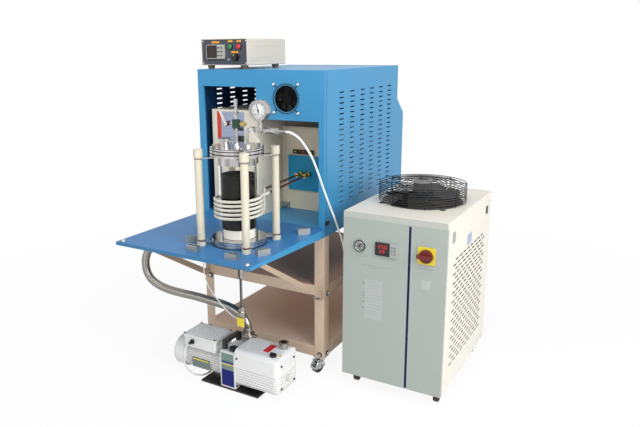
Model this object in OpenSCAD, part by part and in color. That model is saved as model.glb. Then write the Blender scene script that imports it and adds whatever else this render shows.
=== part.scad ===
// Induction heating system: generator cabinet on a trolley, furnace chamber on its front table,
// vacuum pump on the floor under the table, water chiller at the right.
// All sizes in millimetres. X runs to the right, Y backwards, Z up from the floor.

/* [Cabinet] */
// Width of the generator cabinet and its table
cab_w = 700; // [680:5:760]
// Depth of the cabinet at its top
cab_d = 865; // [840:5:920]
// Height of the cabinet, from its underside to its top
cab_h = 755; // [745:5:800]
// Depth of the box that stands out of the rear side
bulge_d = 94; // [60:2:120]
// Height of the rear box's underside above the cabinet's underside
bulge_low = 67; // [60:1:90]
// Height of the top of the rear box's upright face above the cabinet's underside
bulge_high = 493; // [450:1:520]
// Rise of the rear box's sloping roof
bulge_slope = 80; // [50:1:100]
// Thickness of the sheet metal of cabinet and table
sheet = 2; // [1.5:0.5:3]
// Number of louvre columns on each side
louvre_cols = 6; // [4:1:6]
// Number of louvre rows on each side
louvre_rows = 22; // [10:1:22]
// Length of one louvre slot
louvre_l = 45; // [30:1:60]
// Height of one louvre slot
louvre_h = 8; // [5:1:12]
// Spacing of the louvre columns
louvre_step_y = 115; // [100:1:120]
// Spacing of the louvre rows
louvre_step_z = 24.5; // [20:0.5:26]
// Distance from the front panel to the first louvre column
louvre_front = 148; // [100:1:160]
// Distance from the cabinet's top to the first louvre row
louvre_drop = 107; // [80:1:130]

/* [Front panel] */
// Width of the left jamb beside the work bay
jamb_l = 30; // [20:1:36]
// Width of the right jamb beside the work bay
jamb_r = 29; // [20:1:36]
// Height of the header over the high left part of the bay
header_l = 80; // [60:1:100]
// Height of the header over the low right part of the bay
header_r = 226; // [215:1:240]
// Distance from the cabinet's left side to the step between the two parts of the bay
bay_step_x = 340; // [330:1:350]
// Depth of the folded rim round the bay
rim_d = 14; // [8:1:20]
// Distance from the cabinet's left side to the fan's axis
fan_x = 503; // [480:1:540]
// Distance from the cabinet's top down to the fan's axis
fan_drop = 128; // [110:1:135]
// Radius of the fan's opening
fan_r = 60; // [50:1:64]
// Distance of the guard's screws from the fan's axis, sideways and upwards
fan_screw = 64; // [60:1:70]

/* [Table] */
// Depth of the work table in front of the cabinet
table_d = 607; // [560:1:640]
// Depth of the table's side lip at the cabinet
lip_rear = 41; // [35:1:50]
// Depth of the table's lip at its front edge
lip_front = 15; // [10:1:25]
// Length of a cover catch
catch_l = 56; // [40:1:60]
// Distance from the front panel to the rear catches
catch_rear = 115; // [100:1:130]
// Width of a cover catch
catch_w = 22; // [18:1:30]
// Height of a cover catch
catch_h = 26; // [20:1:34]

/* [Trolley] */
// Height of the legs
leg_h = 610; // [560:5:640]
// Width of each leg's flange
leg_w = 50; // [40:1:60]
// Thickness of the legs' steel
leg_t = 4; // [3:0.5:6]
// Height of the middle rails' underside above the legs' feet
mid_rail_h = 315; // [300:1:360]
// Width of each rail's flange
rail_w = 50; // [40:1:55]
// Thickness of the rails' steel
rail_t = 4; // [3:0.5:6]
// Thickness of a shelf
shelf_t = 3; // [2:0.5:6]
// Distance from the table's front edge back to the strut's upper end
strut_back = 45; // [30:1:80]
// Width of a table strut
strut_w = 30; // [24:1:36]
// Height of the strut's bolt above the legs' feet
strut_h = 320; // [290:1:340]

/* [Casters] */
// Height of the trolley's casters
cart_caster_h = 80; // [74:1:90]
// Height of the chiller's casters
chill_caster_h = 69; // [66:1:80]
// Radius of the trolley's wheels
cart_wheel_r = 31; // [26:1:32]
// Radius of the chiller's wheels
chill_wheel_r = 25; // [22:1:26]
// Width of a caster wheel
wheel_w = 22; // [16:1:24]
// Thickness of a fork's steel
fork_t = 3; // [2:0.5:4]
// Distance from the kingpin back to the axle of a swivel caster
caster_trail = 24; // [14:1:26]
// Radius of a wheel's axle
axle_r = 4; // [3:0.5:5]
// Radius of the kingpin
kingpin_r = 6; // [5:0.5:7]
// Side of the square mounting plate
plate_w = 60; // [52:1:66]
// Thickness of the mounting plate
plate_t = 4; // [3:0.5:5]

/* [Generator modules] */
// Distance from the cabinet's left side to the left module
mod_l_x = 42; // [34:1:60]
// Width of the left module
mod_l_w = 270; // [250:1:280]
// Distance from the front panel to the left module
mod_l_y = 50; // [45:1:70]
// Height of the left module
mod_l_h = 519; // [480:1:560]
// Width of the right module
mod_r_w = 331; // [300:1:340]
// Distance from the front panel to the right module
mod_r_y = 280; // [262:1:300]
// Height of the right module
mod_r_h = 424; // [400:1:450]
// Distance from the modules to the cabinet's rear panel
mod_rear = 85; // [60:1:120]
// Distance from the right module's left side to the terminal plate
term_x = 37; // [14:1:50]
// Width of the terminal plate
term_w = 177; // [160:1:190]
// Height of the terminal plate's lower edge above the table
term_z = 101; // [80:1:120]
// Height of the terminal plate
term_h = 180; // [160:1:200]
// Thickness of the terminal plate
term_t = 8; // [5:1:12]
// Width of the meter strip over the terminal plate
meter_w = 122; // [100:1:140]
// Height of the meter strip
meter_h = 24; // [18:1:30]

/* [Chamber] */
// Distance from the table's right side to the chamber's axis
chamber_side = 225; // [215:1:235]
// Distance from the table's front edge to the chamber's axis
chamber_edge = 255; // [245:1:262]
// Thickness of each flat seal
seal_t = 4; // [3:0.5:6]
// Radius of the base flange
base_r = 117; // [112:1:122]
// Height of the base flange
base_h = 25; // [20:1:30]
// Outer radius of the quartz tube
quartz_r = 80; // [80:0.5:82]
// Wall of the quartz tube
quartz_wall = 4; // [3:0.5:5]
// Length of the quartz tube
quartz_h = 350; // [340:1:370]
// Radius of the pedestal
pedestal_r = 68; // [60:1:72]
// Height of the pedestal
pedestal_h = 40; // [30:1:50]
// Outer radius of the crucible
crucible_r = 73; // [68:1:74]
// Height of the crucible
crucible_h = 230; // [200:1:240]
// Wall and floor of the crucible
crucible_wall = 9; // [6:1:12]
// Height of the collar round the quartz tube's upper end
collar_h = 36; // [28:1:44]
// Wall of the collar
collar_wall = 8; // [5:1:10]
// Radius of the lid and its two rings
lid_r = 112; // [108:1:118]
// Thickness of the lid and of each ring
lid_t = 10; // [8:1:12]
// Radius of a clamp rod
rod_r = 16.5; // [14:0.5:18]
// Spacing of the clamp rods along each side of their square
rod_pitch = 230; // [224:1:236]
// Radius of a clamp rod's cap
cap_r = 19.5; // [18:0.5:20]
// Height of the upper caps
cap_h = 34; // [28:1:40]
// Width of a clamp arm
arm_w = 36; // [30:1:38]
// Thickness of a clamp arm
arm_t = 5; // [4:0.5:7]

/* [Work coil] */
// Radius of the coil at the middle of its tube
coil_r = 100; // [98:0.5:101]
// Radius of the coil's tube
coil_tube_r = 6; // [5:0.5:6]
// Number of whole turns
coil_turns = 5; // [4:1:6]
// Rise of one turn
coil_pitch = 18; // [16:0.5:20]
// Height of the lowest turn above the table
coil_z = 115; // [105:1:125]
// Height of the terminal unions above the table
union_z = 189; // [180:1:195]
// Length of a terminal union
union_l = 57; // [45:1:65]
// Distance from the terminal plate's left side to the first union
union_x = 79; // [60:1:90]
// Distance between the two terminal unions
union_pitch = 44; // [40:1:54]

/* [Lid fittings] */
// Height of the middle stem above the lid
stem_h = 192; // [180:1:210]
// Radius of the thin tubes on the lid
stem_r = 6; // [5:0.5:7]
// Height of the valve on the middle stem above the lid
stem_valve_z = 91; // [88:1:100]
// Height of the gas line above the lid
gas_line_z = 71; // [66:1:76]
// Distance from the chamber's axis to the gas line's riser
gas_riser_x = 53; // [48:1:58]
// Distance from the chamber's axis to the gas line's outer end
gas_end_x = 239; // [230:1:250]
// Distance from the chamber's axis to the gauge's axis
gauge_x = 118; // [112:1:122]
// Height of the gauge's axis above the lid
gauge_z = 150; // [146:1:160]
// Radius of the gauge
gauge_r = 40; // [34:1:42]
// Depth of the gauge's case
gauge_d = 34; // [28:1:40]
// Length of a valve lever
lever_l = 62; // [50:1:70]
// Radius of the sight port on the lid
port_r = 20; // [16:1:24]
// Height of the sight port
port_h = 34; // [28:1:40]

/* [Chamber outlet] */
// Radius of the outlet tube under the table
outlet_r = 6; // [5:0.5:8]
// Length of the outlet tube from the table down to its valve
outlet_l = 318; // [280:1:330]
// Radius of the outlet valve's body
outlet_valve_r = 17; // [14:1:20]
// Height of the outlet valve's body
outlet_valve_h = 50; // [44:1:64]

/* [Vacuum pump] */
// Distance from the cabinet's left side to the pump block
block_x = 345; // [335:1:350]
// Width of the pump block along the shaft
block_w = 80; // [76:1:90]
// Distance from the front panel forwards to the pump's front side
pump_front = 350; // [340:1:360]
// Depth of the pump block
pump_d = 172; // [168:1:184]
// Height of the block's underside above the floor
block_z = 14; // [12:1:20]
// Height of the pump block
block_h = 176; // [170:1:190]
// Length of the oil case
case_l = 232; // [215:1:240]
// Height of the oil case
case_h = 177; // [170:1:185]
// Height of the oil case's underside above the floor
case_z = 36; // [30:1:44]
// Radius of the oil case's long edges
case_round = 24; // [16:1:30]
// Spacing of the cooling ribs on the oil case
rib_step = 12; // [10:1:14]
// Number of grooves between the ribs
rib_count = 7; // [5:1:8]
// Depth of the grooves between the ribs
rib_d = 3; // [2:0.5:5]
// Height of the motor's axis above the floor
motor_z = 100; // [96:1:104]
// Radius of the motor over its fins
motor_r = 70; // [66:1:72]
// Number of fins round the motor
motor_fins = 40; // [24:2:44]
// Length of the motor between block and cowl
motor_l = 235; // [225:1:245]
// Length of the fan cowl
cowl_l = 60; // [50:1:70]
// Radius of the fan cowl
cowl_r = 76; // [73:1:80]
// Length of the terminal box along the shaft
tbox_l = 184; // [170:1:195]
// Depth of the terminal box
tbox_d = 134; // [120:1:140]
// Height of the terminal box's top above the floor
tbox_top = 222; // [214:1:230]
// Length of the base plate
pbase_l = 322; // [300:1:330]
// Thickness of the base plate
pbase_t = 8; // [5:1:10]
// Height of the handle's grip above the block
grip_h = 30; // [26:1:40]
// Thickness of the handle
grip_t = 16; // [12:1:20]
// Outer radius of the inlet elbow
elbow_r = 20; // [18:1:22]
// Inner radius of the exhaust port
exhaust_r = 14; // [12:0.5:16]
// Height of the exhaust port
exhaust_h = 30; // [24:1:36]
// Radius of the gas ballast knob
ballast_r = 22; // [18:1:24]
// Height of the gas ballast knob
ballast_h = 14; // [10:1:18]

/* [Chiller] */
// Distance from the cabinet's right side to the chiller
chill_gap = 123; // [110:1:140]
// Distance from the front panel forwards to the chiller's front
chill_front = 50; // [40:1:60]
// Width of the chiller
chill_w = 467; // [450:1:480]
// Depth of the chiller
chill_d = 705; // [680:1:730]
// Height of the chiller's body
chill_h = 776; // [760:1:800]
// Thickness of the chiller's sheet metal
chill_t = 2; // [1.5:0.5:3]
// Height of the chiller's top cover
cover_h = 26; // [20:1:32]
// Depth of the front door
door_t = 18; // [12:1:24]
// Distance from the chiller's left side to the dark strip in the door
strip_x = 302; // [290:1:310]
// Width of the dark strip
strip_w = 11; // [8:1:14]
// Rows of slots in each side grille
grille_rows = 24; // [16:1:24]
// Spacing of the grille's rows
grille_step = 21; // [18:0.5:21.5]
// Height of one grille slot
grille_h = 8; // [6:1:10]
// Slots in each row of the grille
grille_cols = 9; // [6:1:9]
// Spacing of the slots along a row
grille_pitch = 58; // [54:1:60]
// Length of one grille slot
grille_l = 46; // [38:1:48]
// Distance from the chiller's front to the grille
grille_front = 104; // [90:1:120]
// Height of the grille's lowest row above the body's underside
grille_low = 100; // [80:1:120]
// Radius of the fan's cage
cage_r = 200; // [190:1:205]
// Height of the fan's cage
cage_h = 86; // [78:1:96]
// Thickness of the cage's wires
wire = 3; // [2:0.5:4]
// Number of rings round the cage's side
cage_rings = 8; // [5:1:9]
// Radius of the chiller fan's motor
fan_motor_r = 42; // [36:1:50]
// Length of the chiller fan's blades, from the hub outwards
blade_l = 128; // [110:1:134]
// Height of the instruments' axes below the chiller's top
instr_drop = 148; // [140:1:160]
// Radius of the chiller's pressure gauge
cgauge_r = 26; // [22:1:30]
// Width of the chiller's controller
ctrl_w = 104; // [96:1:110]
// Height of the chiller's controller
ctrl_h = 58; // [50:1:64]
// Side of the main switch's square plate
switch_w = 74; // [68:1:80]
// Radius of the main switch's knob
switch_r = 29; // [24:1:32]
// Radius of the water ports on the rear side
water_r = 12; // [10:0.5:14]
// Length of the water ports
water_l = 30; // [24:1:40]

/* [Control box] */
// Width of the control box
box_w = 270; // [250:1:290]
// Depth of the control box
box_d = 345; // [320:1:360]
// Height of the control box without its feet
box_h = 124; // [118:1:134]
// Wall of the control box
box_wall = 3; // [2:0.5:4]
// Height of the feet
foot_h = 18; // [14:1:24]
// Distance from the cabinet's front to the control box
box_y = 35; // [20:1:60]
// Distance from the cabinet's left side to the control box
box_x = 2; // [2:1:30]
// Width of the display unit
disp_w = 110; // [96:1:116]
// Height of the display unit
disp_h = 66; // [56:1:72]
// Radius of the two push buttons
button_r = 11.5; // [9:0.5:13]
// Travel of the push buttons
button_travel = 4; // [3:0.5:5]
// Radius of the power knob
knob_r = 19; // [15:1:22]

/* [Hidden] */

$fn = 48;

// Gap between two pieces that are bolted or laid together
seam = 0.2;
// Radial clearance of a shaft in its bore
run_gap = 0.1;
// Gap between two faces that turn past each other
air = 0.3;
// Overlap that makes a cut or a joint of two forms clean
bite = 1;

// Heights that stack up from the floor
cab_z = cart_caster_h + leg_h;
table_z = cab_z + lip_rear;
cab_top = cab_z + cab_h;
base_z = table_z + seal_t;
quartz_z = base_z + base_h;
ring_z = quartz_z + quartz_h;
lid_z = ring_z + 2 * (lid_t + seal_t);
lid_top = lid_z + lid_t;
chamber_x = cab_w - chamber_side;
chamber_y = chamber_edge - table_d;
chamber = [chamber_x, chamber_y, 0];

// The frame's origin, in the middle of everything that stands on the floor
rear_port_l = 32;
chill_x = cab_w + chill_gap;
chill_y = -chill_front;
mid_x = (chill_x + chill_w) / 2;
mid_y = (cab_d + bulge_d + rear_port_l - table_d) / 2;

// Basic placing and forms

module place() translate([-mid_x, -mid_y, 0]) children();

module box_at(corner, size) translate(corner) cube(size);

// Extrudes an outline drawn in Y and Z along X
module along_x(length) rotate([90, 0, 90]) linear_extrude(length) children();

// Extrudes an outline drawn in X and Z along Y
module along_y(length) translate([0, length, 0]) rotate([90, 0, 0]) linear_extrude(length) children();

// A cylinder whose axis runs along Y from the origin
module pin_y(r, length) rotate([-90, 0, 0]) cylinder(r = r, h = length);

// A cylinder whose axis runs along X from the origin
module pin_x(r, length) rotate([0, 90, 0]) cylinder(r = r, h = length);

// Rectangle with round corners and its lower left corner at the origin
module round_rect(w, h, r) {
    translate([r, 0]) square([w - 2 * r, h]);
    translate([0, r]) square([w, h - 2 * r]);
    for (x = [r, w - r], y = [r, h - r]) translate([x, y]) circle(r);
}

// A straight rod from point a to point b
module rod_between(a, b, r) {
    v = b - a;
    length = norm(v);
    turn = atan2(v[1], v[0]);
    tilt = acos(v[2] / length);
    translate(a) rotate([0, tilt, turn]) cylinder(r = r, h = length);
}

// Sweeping a round tube along a path

function unit(v) = v / norm(v);

function tangents(p) = [
    for (i = [0 : len(p) - 1]) unit(p[min(i + 1, len(p) - 1)] - p[max(i - 1, 0)])
];

function carried(side, tangent) = unit(side - (side * tangent) * tangent);

function sides(t, out, i = 1) =
    i == len(t) ? out : sides(t, concat(out, [carried(out[i - 1], t[i])]), i + 1);

function blend_point(a, b, c, d, t) = 0.5 * (
    2 * b + (c - a) * t + (2 * a - 5 * b + 4 * c - d) * t * t + (3 * b - a - 3 * c + d) * t * t * t
);

// A smooth curve through the points of a route, with a given number of steps between them
function smooth(p, steps) = [
    for (i = [0 : len(p) - 2], k = [0 : steps - 1])
        blend_point(p[max(i - 1, 0)], p[i], p[i + 1], p[min(i + 2, len(p) - 1)], k / steps),
    p[len(p) - 1]
];

module swept(path, r, n) {
    t = tangents(path);
    start = carried(abs(t[0][2]) < 0.8 ? [0, 0, 1] : [1, 0, 0], t[0]);
    s = sides(t, [start]);
    last = len(path) - 1;
    points = [
        for (i = [0 : last], k = [0 : n - 1])
            path[i] + r * (cos(360 * k / n) * s[i] + sin(360 * k / n) * cross(t[i], s[i]))
    ];
    walls = [
        for (i = [0 : last - 1], k = [0 : n - 1])
            [i * n + k, (i + 1) * n + k, (i + 1) * n + (k + 1) % n, i * n + (k + 1) % n]
    ];
    polyhedron(points, concat(
        [[for (k = [0 : n - 1]) k]], walls, [[for (k = [n - 1 : -1 : 0]) last * n + k]]
    ));
}

// Trolley

// Outline of an angle bar with its corner at the origin
module angle(w, t) {
    square([w, t]);
    square([t, w]);
}

module leg(flip_x, flip_y) {
    translate([flip_x ? cab_w : 0, flip_y ? cab_d : 0, cart_caster_h])
        mirror([flip_x ? 1 : 0, 0, 0]) mirror([0, flip_y ? 1 : 0, 0])
            linear_extrude(leg_h) angle(leg_w, leg_t);
}

// A rail runs inside the legs, with its level flange on top
rail_in = leg_t + seam;

module front_rail() {
    box_at([rail_in, rail_in, 0], [cab_w - 2 * rail_in, rail_t, rail_w]);
    box_at([rail_in, rail_in, rail_w - rail_t], [cab_w - 2 * rail_in, rail_w, rail_t]);
}

module side_rail() {
    end = rail_in + rail_t + seam;
    shelf_end = rail_in + rail_w + seam;
    box_at([rail_in, end, 0], [rail_t, cab_d - 2 * end, rail_w - rail_t - seam]);
    box_at([rail_in, shelf_end, 0], [rail_t, cab_d - 2 * shelf_end, rail_w]);
    box_at([rail_in, shelf_end, rail_w - rail_t], [rail_w, cab_d - 2 * shelf_end, rail_t]);
}

module rails() {
    front_rail();
    translate([0, cab_d, 0]) mirror([0, 1, 0]) front_rail();
    side_rail();
    translate([cab_w, 0, 0]) mirror([1, 0, 0]) side_rail();
}

// The strut rises from the leg's front to the underside of the table
module table_strut() {
    foot = [-seam, cart_caster_h + strut_h];
    head = [strut_back - table_d, table_z - sheet - seam];
    web = [
        foot - [0, strut_w / 2], foot + [0, strut_w / 2],
        head + [1.3 * strut_w, 0], head
    ];
    flange = [
        foot + [0, strut_w / 2], foot + [0, strut_w / 2 - rail_t],
        head + [1.3 * strut_w - 2 * rail_t, 0], head + [1.3 * strut_w, 0]
    ];
    along_x(rail_t) polygon(web);
    along_x(strut_w) polygon(flange);
}

module trolley_frame() color("tan") place() {
    for (x = [false, true], y = [false, true]) leg(x, y);
    for (z = [0, mid_rail_h]) translate([0, 0, cart_caster_h + z]) rails();
    for (side = [0, 1])
        translate([side * cab_w, 0, 0]) mirror([side, 0, 0])
            translate([sheet + seam, 0, 0]) table_strut();
}

module trolley_shelves() color("rosybrown") place()
    for (z = [0, mid_rail_h])
        box_at(
            [rail_in, rail_in, cart_caster_h + z + rail_w],
            [cab_w - 2 * rail_in, cab_d - 2 * rail_in, shelf_t]
        );

// Casters, drawn with the kingpin over the origin and the wheel on the floor

boss_r = 18;
boss_h = 6;
cheek_gap = wheel_w / 2 + 2;

module caster_plate(h) {
    difference() {
        union() {
            box_at([-plate_w / 2, -plate_w / 2, h - plate_t], [plate_w, plate_w, plate_t]);
            translate([0, 0, h - plate_t - boss_h]) cylinder(r = boss_r, h = boss_h + bite);
        }
        translate([0, 0, h - plate_t - boss_h - bite])
            cylinder(r = kingpin_r + run_gap, h = boss_h + plate_t + 2 * bite);
    }
}

// Cheeks, deck and axle of a fork for a wheel of radius r, with its deck's top at height top
module fork_body(top, trail, r) {
    for (side = [-1, 1]) translate([0, side > 0 ? cheek_gap : -cheek_gap - fork_t, 0])
        along_y(fork_t) {
            polygon([
                [-boss_r, top], [max(boss_r, trail + 0.6 * r), top],
                [trail + 0.8 * r, r + 0.4 * r], [trail + 2.4 * axle_r, r], [trail - 2.4 * axle_r, r]
            ]);
            translate([trail, r]) circle(2.4 * axle_r);
        }
    translate([-boss_r, -cheek_gap - fork_t, top - fork_t])
        cube([boss_r + max(boss_r, trail + 0.6 * r), 2 * (cheek_gap + fork_t), fork_t]);
    translate([trail, -cheek_gap - fork_t - axle_r / 2, r])
        pin_y(axle_r, 2 * (cheek_gap + fork_t) + axle_r);
}

module caster_fork(h, r) {
    top = h - plate_t - boss_h - air;
    fork_body(top, caster_trail, r);
    translate([0, 0, top - bite]) cylinder(r = kingpin_r, h = h - seam - top + bite);
}

module rigid_caster(h, r) {
    fork_body(h - plate_t, 0, r);
    box_at([-plate_w / 2, -plate_w / 2, h - plate_t - seam], [plate_w, plate_w, plate_t + seam]);
}

module caster_wheel(r) {
    half = wheel_w / 2;
    translate([0, 0, r]) rotate([90, 0, 0]) rotate_extrude() difference() {
        union() {
            translate([axle_r + run_gap, -half - 1]) square([2 * axle_r, wheel_w + 2]);
            translate([axle_r + run_gap, -half + 3]) square([r - 7, wheel_w - 6]);
            translate([r - 7, -half]) square([4, wheel_w]);
            translate([r - 4, -half + 3]) square([4, wheel_w - 6]);
            for (s = [-1, 1]) translate([r - 3, s * (half - 3)]) circle(3);
        }
        translate([-1, -wheel_w]) square([1 + axle_r + run_gap, 2 * wheel_w]);
    }
}

// Places of the casters: kingpin, and the way that the fork trails
cart_pins = [for (y = [0, 1], x = [0, 1])
    [plate_w / 2 + x * (cab_w - plate_w), plate_w / 2 + y * (cab_d - plate_w), 0]];
chill_inset = [40, 62];
chill_pins = [for (y = [0, 1], x = [0, 1]) [
    chill_x + chill_inset[0] + x * (chill_w - 2 * chill_inset[0]),
    chill_y + chill_inset[1] + y * (chill_d - 2 * chill_inset[1]), 0]];
cart_trails = [285, 255];
chill_trail = 90;

module at_caster(pin, turn) translate(pin) rotate([0, 0, turn]) children();

module caster_plates() color("gainsboro") place() {
    for (i = [0, 1]) {
        at_caster(cart_pins[i], 0) caster_plate(cart_caster_h);
        at_caster(chill_pins[i], 0) caster_plate(chill_caster_h);
        at_caster(cart_pins[i + 2], 90) rigid_caster(cart_caster_h, cart_wheel_r);
        at_caster(chill_pins[i + 2], 90) rigid_caster(chill_caster_h, chill_wheel_r);
    }
}

module swivel_wheel(pin, turn, r)
    color("dimgray") place() at_caster(pin, turn) translate([caster_trail, 0, 0]) caster_wheel(r);

module rear_wheel(pin, r) color("dimgray") place() at_caster(pin, 90) caster_wheel(r);

module swivel_fork(pin, turn, h, r) color("gainsboro") place() at_caster(pin, turn) caster_fork(h, r);

module cart_fork_left() swivel_fork(cart_pins[0], cart_trails[0], cart_caster_h, cart_wheel_r);
module cart_fork_right() swivel_fork(cart_pins[1], cart_trails[1], cart_caster_h, cart_wheel_r);
module cart_wheel_front_left() swivel_wheel(cart_pins[0], cart_trails[0], cart_wheel_r);
module cart_wheel_front_right() swivel_wheel(cart_pins[1], cart_trails[1], cart_wheel_r);
module cart_wheel_rear_left() rear_wheel(cart_pins[2], cart_wheel_r);
module cart_wheel_rear_right() rear_wheel(cart_pins[3], cart_wheel_r);
module chiller_fork_left() swivel_fork(chill_pins[0], chill_trail, chill_caster_h, chill_wheel_r);
module chiller_fork_right() swivel_fork(chill_pins[1], chill_trail, chill_caster_h, chill_wheel_r);
module chiller_wheel_front_left() swivel_wheel(chill_pins[0], chill_trail, chill_wheel_r);
module chiller_wheel_front_right() swivel_wheel(chill_pins[1], chill_trail, chill_wheel_r);
module chiller_wheel_rear_left() rear_wheel(chill_pins[2], chill_wheel_r);
module chiller_wheel_rear_right() rear_wheel(chill_pins[3], chill_wheel_r);

// Cabinet

front_h = cab_h - lip_rear;
fan_at = [fan_x, cab_h - lip_rear - fan_drop];

// The two-stepped bay in the front panel, grown by a margin; X and Z over the table
module bay_outline(grow) {
    polygon([
        [jamb_l - grow, -bite], [jamb_l - grow, front_h - header_l + grow],
        [bay_step_x + grow, front_h - header_l + grow], [bay_step_x + grow, front_h - header_r + grow],
        [cab_w - jamb_r + grow, front_h - header_r + grow], [cab_w - jamb_r + grow, -bite]
    ]);
}

module cabinet_front() color("dodgerblue") place() {
    translate([0, 0, table_z + seam]) {
        along_y(sheet) difference() {
            square([cab_w, front_h - seam]);
            bay_outline(0);
            translate(fan_at) circle(fan_r);
        }
        along_y(rim_d) difference() {
            intersection() {
                bay_outline(sheet);
                square([cab_w, front_h]);
            }
            bay_outline(0);
        }
    }
    box_at([sheet + seam, 0, cab_z], [cab_w - 2 * (sheet + seam), sheet, lip_rear - sheet - seam]);
}

module side_outline()
    polygon([
        [sheet + seam, 0], [cab_d, 0], [cab_d, bulge_low], [cab_d + bulge_d, bulge_low],
        [cab_d + bulge_d, bulge_high], [cab_d, bulge_high + bulge_slope],
        [cab_d, cab_h], [sheet + seam, cab_h]
    ]);

module louvres()
    for (c = [0 : louvre_cols - 1], r = [0 : louvre_rows - 1])
        translate([louvre_front + c * louvre_step_y, cab_h - louvre_drop - r * louvre_step_z])
            square([louvre_l, louvre_h]);

// The rear box's cover: floor, upright face and sloping roof
module rear_cover_outline() {
    top = bulge_high + bulge_slope;
    back = cab_d + bulge_d;
    difference() {
        polygon([
            [cab_d - sheet, bulge_low], [back, bulge_low], [back, bulge_high],
            [cab_d, top], [cab_d - sheet, top]
        ]);
        polygon([
            [cab_d - 2 * sheet, bulge_low + sheet], [back - sheet, bulge_low + sheet],
            [back - sheet, bulge_high - sheet], [cab_d - sheet, top - sheet],
            [cab_d - 2 * sheet, top - sheet]
        ]);
    }
}

rear_port_z = 60;
rear_port_x = [150, 230];
gland_x = 520;
rear_port_r = 8;
rear_gland_r = 17;

module cabinet_shell() color("dodgerblue") place() translate([0, 0, cab_z]) {
    inner_x = sheet + seam;
    inner_w = cab_w - 2 * inner_x;
    back = cab_d + bulge_d;
    vent_rows = 7;
    for (x = [0, cab_w - sheet]) translate([x, 0, 0]) along_x(sheet) difference() {
        side_outline();
        louvres();
    }
    box_at([inner_x, inner_x, cab_h - sheet], [inner_w, cab_d - inner_x, sheet]);
    box_at(
        [inner_x, cab_d - sheet, bulge_high + bulge_slope + seam],
        [inner_w, sheet, cab_h - bulge_high - bulge_slope - sheet - 2 * seam]
    );
    difference() {
        translate([inner_x, 0, 0]) along_x(inner_w) rear_cover_outline();
        for (r = [0 : vent_rows - 1], x = [0.25, 0.5, 0.75])
            box_at(
                [cab_w * x - louvre_l / 2, back - 2 * sheet, bulge_high - 60 - r * louvre_step_z],
                [louvre_l, 3 * sheet, louvre_h]
            );
    }
    box_at([inner_x, cab_d - sheet, sheet + seam], [inner_w, sheet, bulge_low - sheet - 2 * seam]);
    box_at([inner_x, inner_x, 0], [inner_w, cab_d - inner_x, sheet]);
    for (x = rear_port_x) translate([x, back + seam, bulge_low + rear_port_z]) {
        pin_y(1.6 * rear_port_r, 6);
        pin_y(rear_port_r, rear_port_l - seam);
    }
    translate([gland_x, back + seam, bulge_low + rear_port_z]) pin_y(rear_gland_r, 18);
}

module work_table() color("dodgerblue") place() difference() {
    union() {
        box_at([0, -table_d, table_z - sheet], [cab_w, table_d - seam, sheet]);
        box_at(
            [sheet + seam, -bite, table_z - sheet],
            [cab_w - 2 * (sheet + seam), cab_d - sheet - seam + bite, sheet]
        );
        box_at([0, -table_d, table_z - lip_front], [cab_w, sheet, lip_front]);
        for (x = [0, cab_w - sheet]) translate([x, 0, table_z]) along_x(sheet) polygon([
            [-table_d, -lip_front], [-table_d, 0], [-seam, 0], [-seam, -lip_rear]
        ]);
    }
    translate([chamber_x, chamber_y, table_z - sheet - bite])
        cylinder(r = outlet_r + seam, h = sheet + 2 * bite);
}

// Places of the cover catches from the chamber's axis, with the way that each one faces
catch_places = [
    [-180, -101, 40], [-95, -197, 0], [109, -208, 0], [186, -101, 60],
    [181, -catch_rear - chamber_y, 50], [-181, -catch_rear - chamber_y, 130],
];

module cover_catches() color("silver") place()
    for (p = catch_places)
        translate([chamber_x + p[0], chamber_y + p[1], table_z]) rotate([0, 0, p[2]]) difference() {
            box_at([-catch_l / 2, -catch_w / 2, 0], [catch_l, catch_w, catch_h]);
            box_at([-catch_l / 2 + 6, -catch_w / 2 + 5, 5], [catch_l - 12, catch_w - 10, catch_h]);
            box_at([-catch_l / 2 - bite, -3, catch_h - 9], [catch_l + 2 * bite, 6, catch_h]);
        }

// Generator modules: two sheet metal covers that stand on the cabinet's floor

mod_wall = 2;
mod_r_x = mod_l_x + mod_l_w + seam;
term_left = mod_r_x + term_x;
union_left = term_left + union_x;

module hollow_cover(corner, size)
    difference() {
        box_at(corner, size);
        box_at(corner + [mod_wall, mod_wall, -bite], size - [2 * mod_wall, 2 * mod_wall, mod_wall - bite]);
    }

module generator_modules() color("wheat") place() translate([0, 0, table_z]) {
    back = cab_d - mod_rear;
    hollow_cover([mod_l_x, mod_l_y, 0], [mod_l_w, back - mod_l_y, mod_l_h]);
    hollow_cover([mod_r_x, mod_r_y, 0], [mod_r_w, back - mod_r_y, mod_r_h]);
    translate([term_left, mod_r_y - term_t - seam, term_z]) along_y(term_t) difference() {
        round_rect(term_w, term_h, 4);
        for (x = [12, term_w - 12], z = [12, term_h - 12]) translate([x, z]) circle(3);
    }
    box_at(
        [term_left + (term_w - meter_w) / 2, mod_r_y - term_t - seam, term_z + term_h + 6],
        [meter_w, term_t, meter_h]
    );
}

// Cabinet fan: square housing behind the panel, wire guard in front of it

fan_housing_d = 38;
fan_axle_r = 3;

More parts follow.
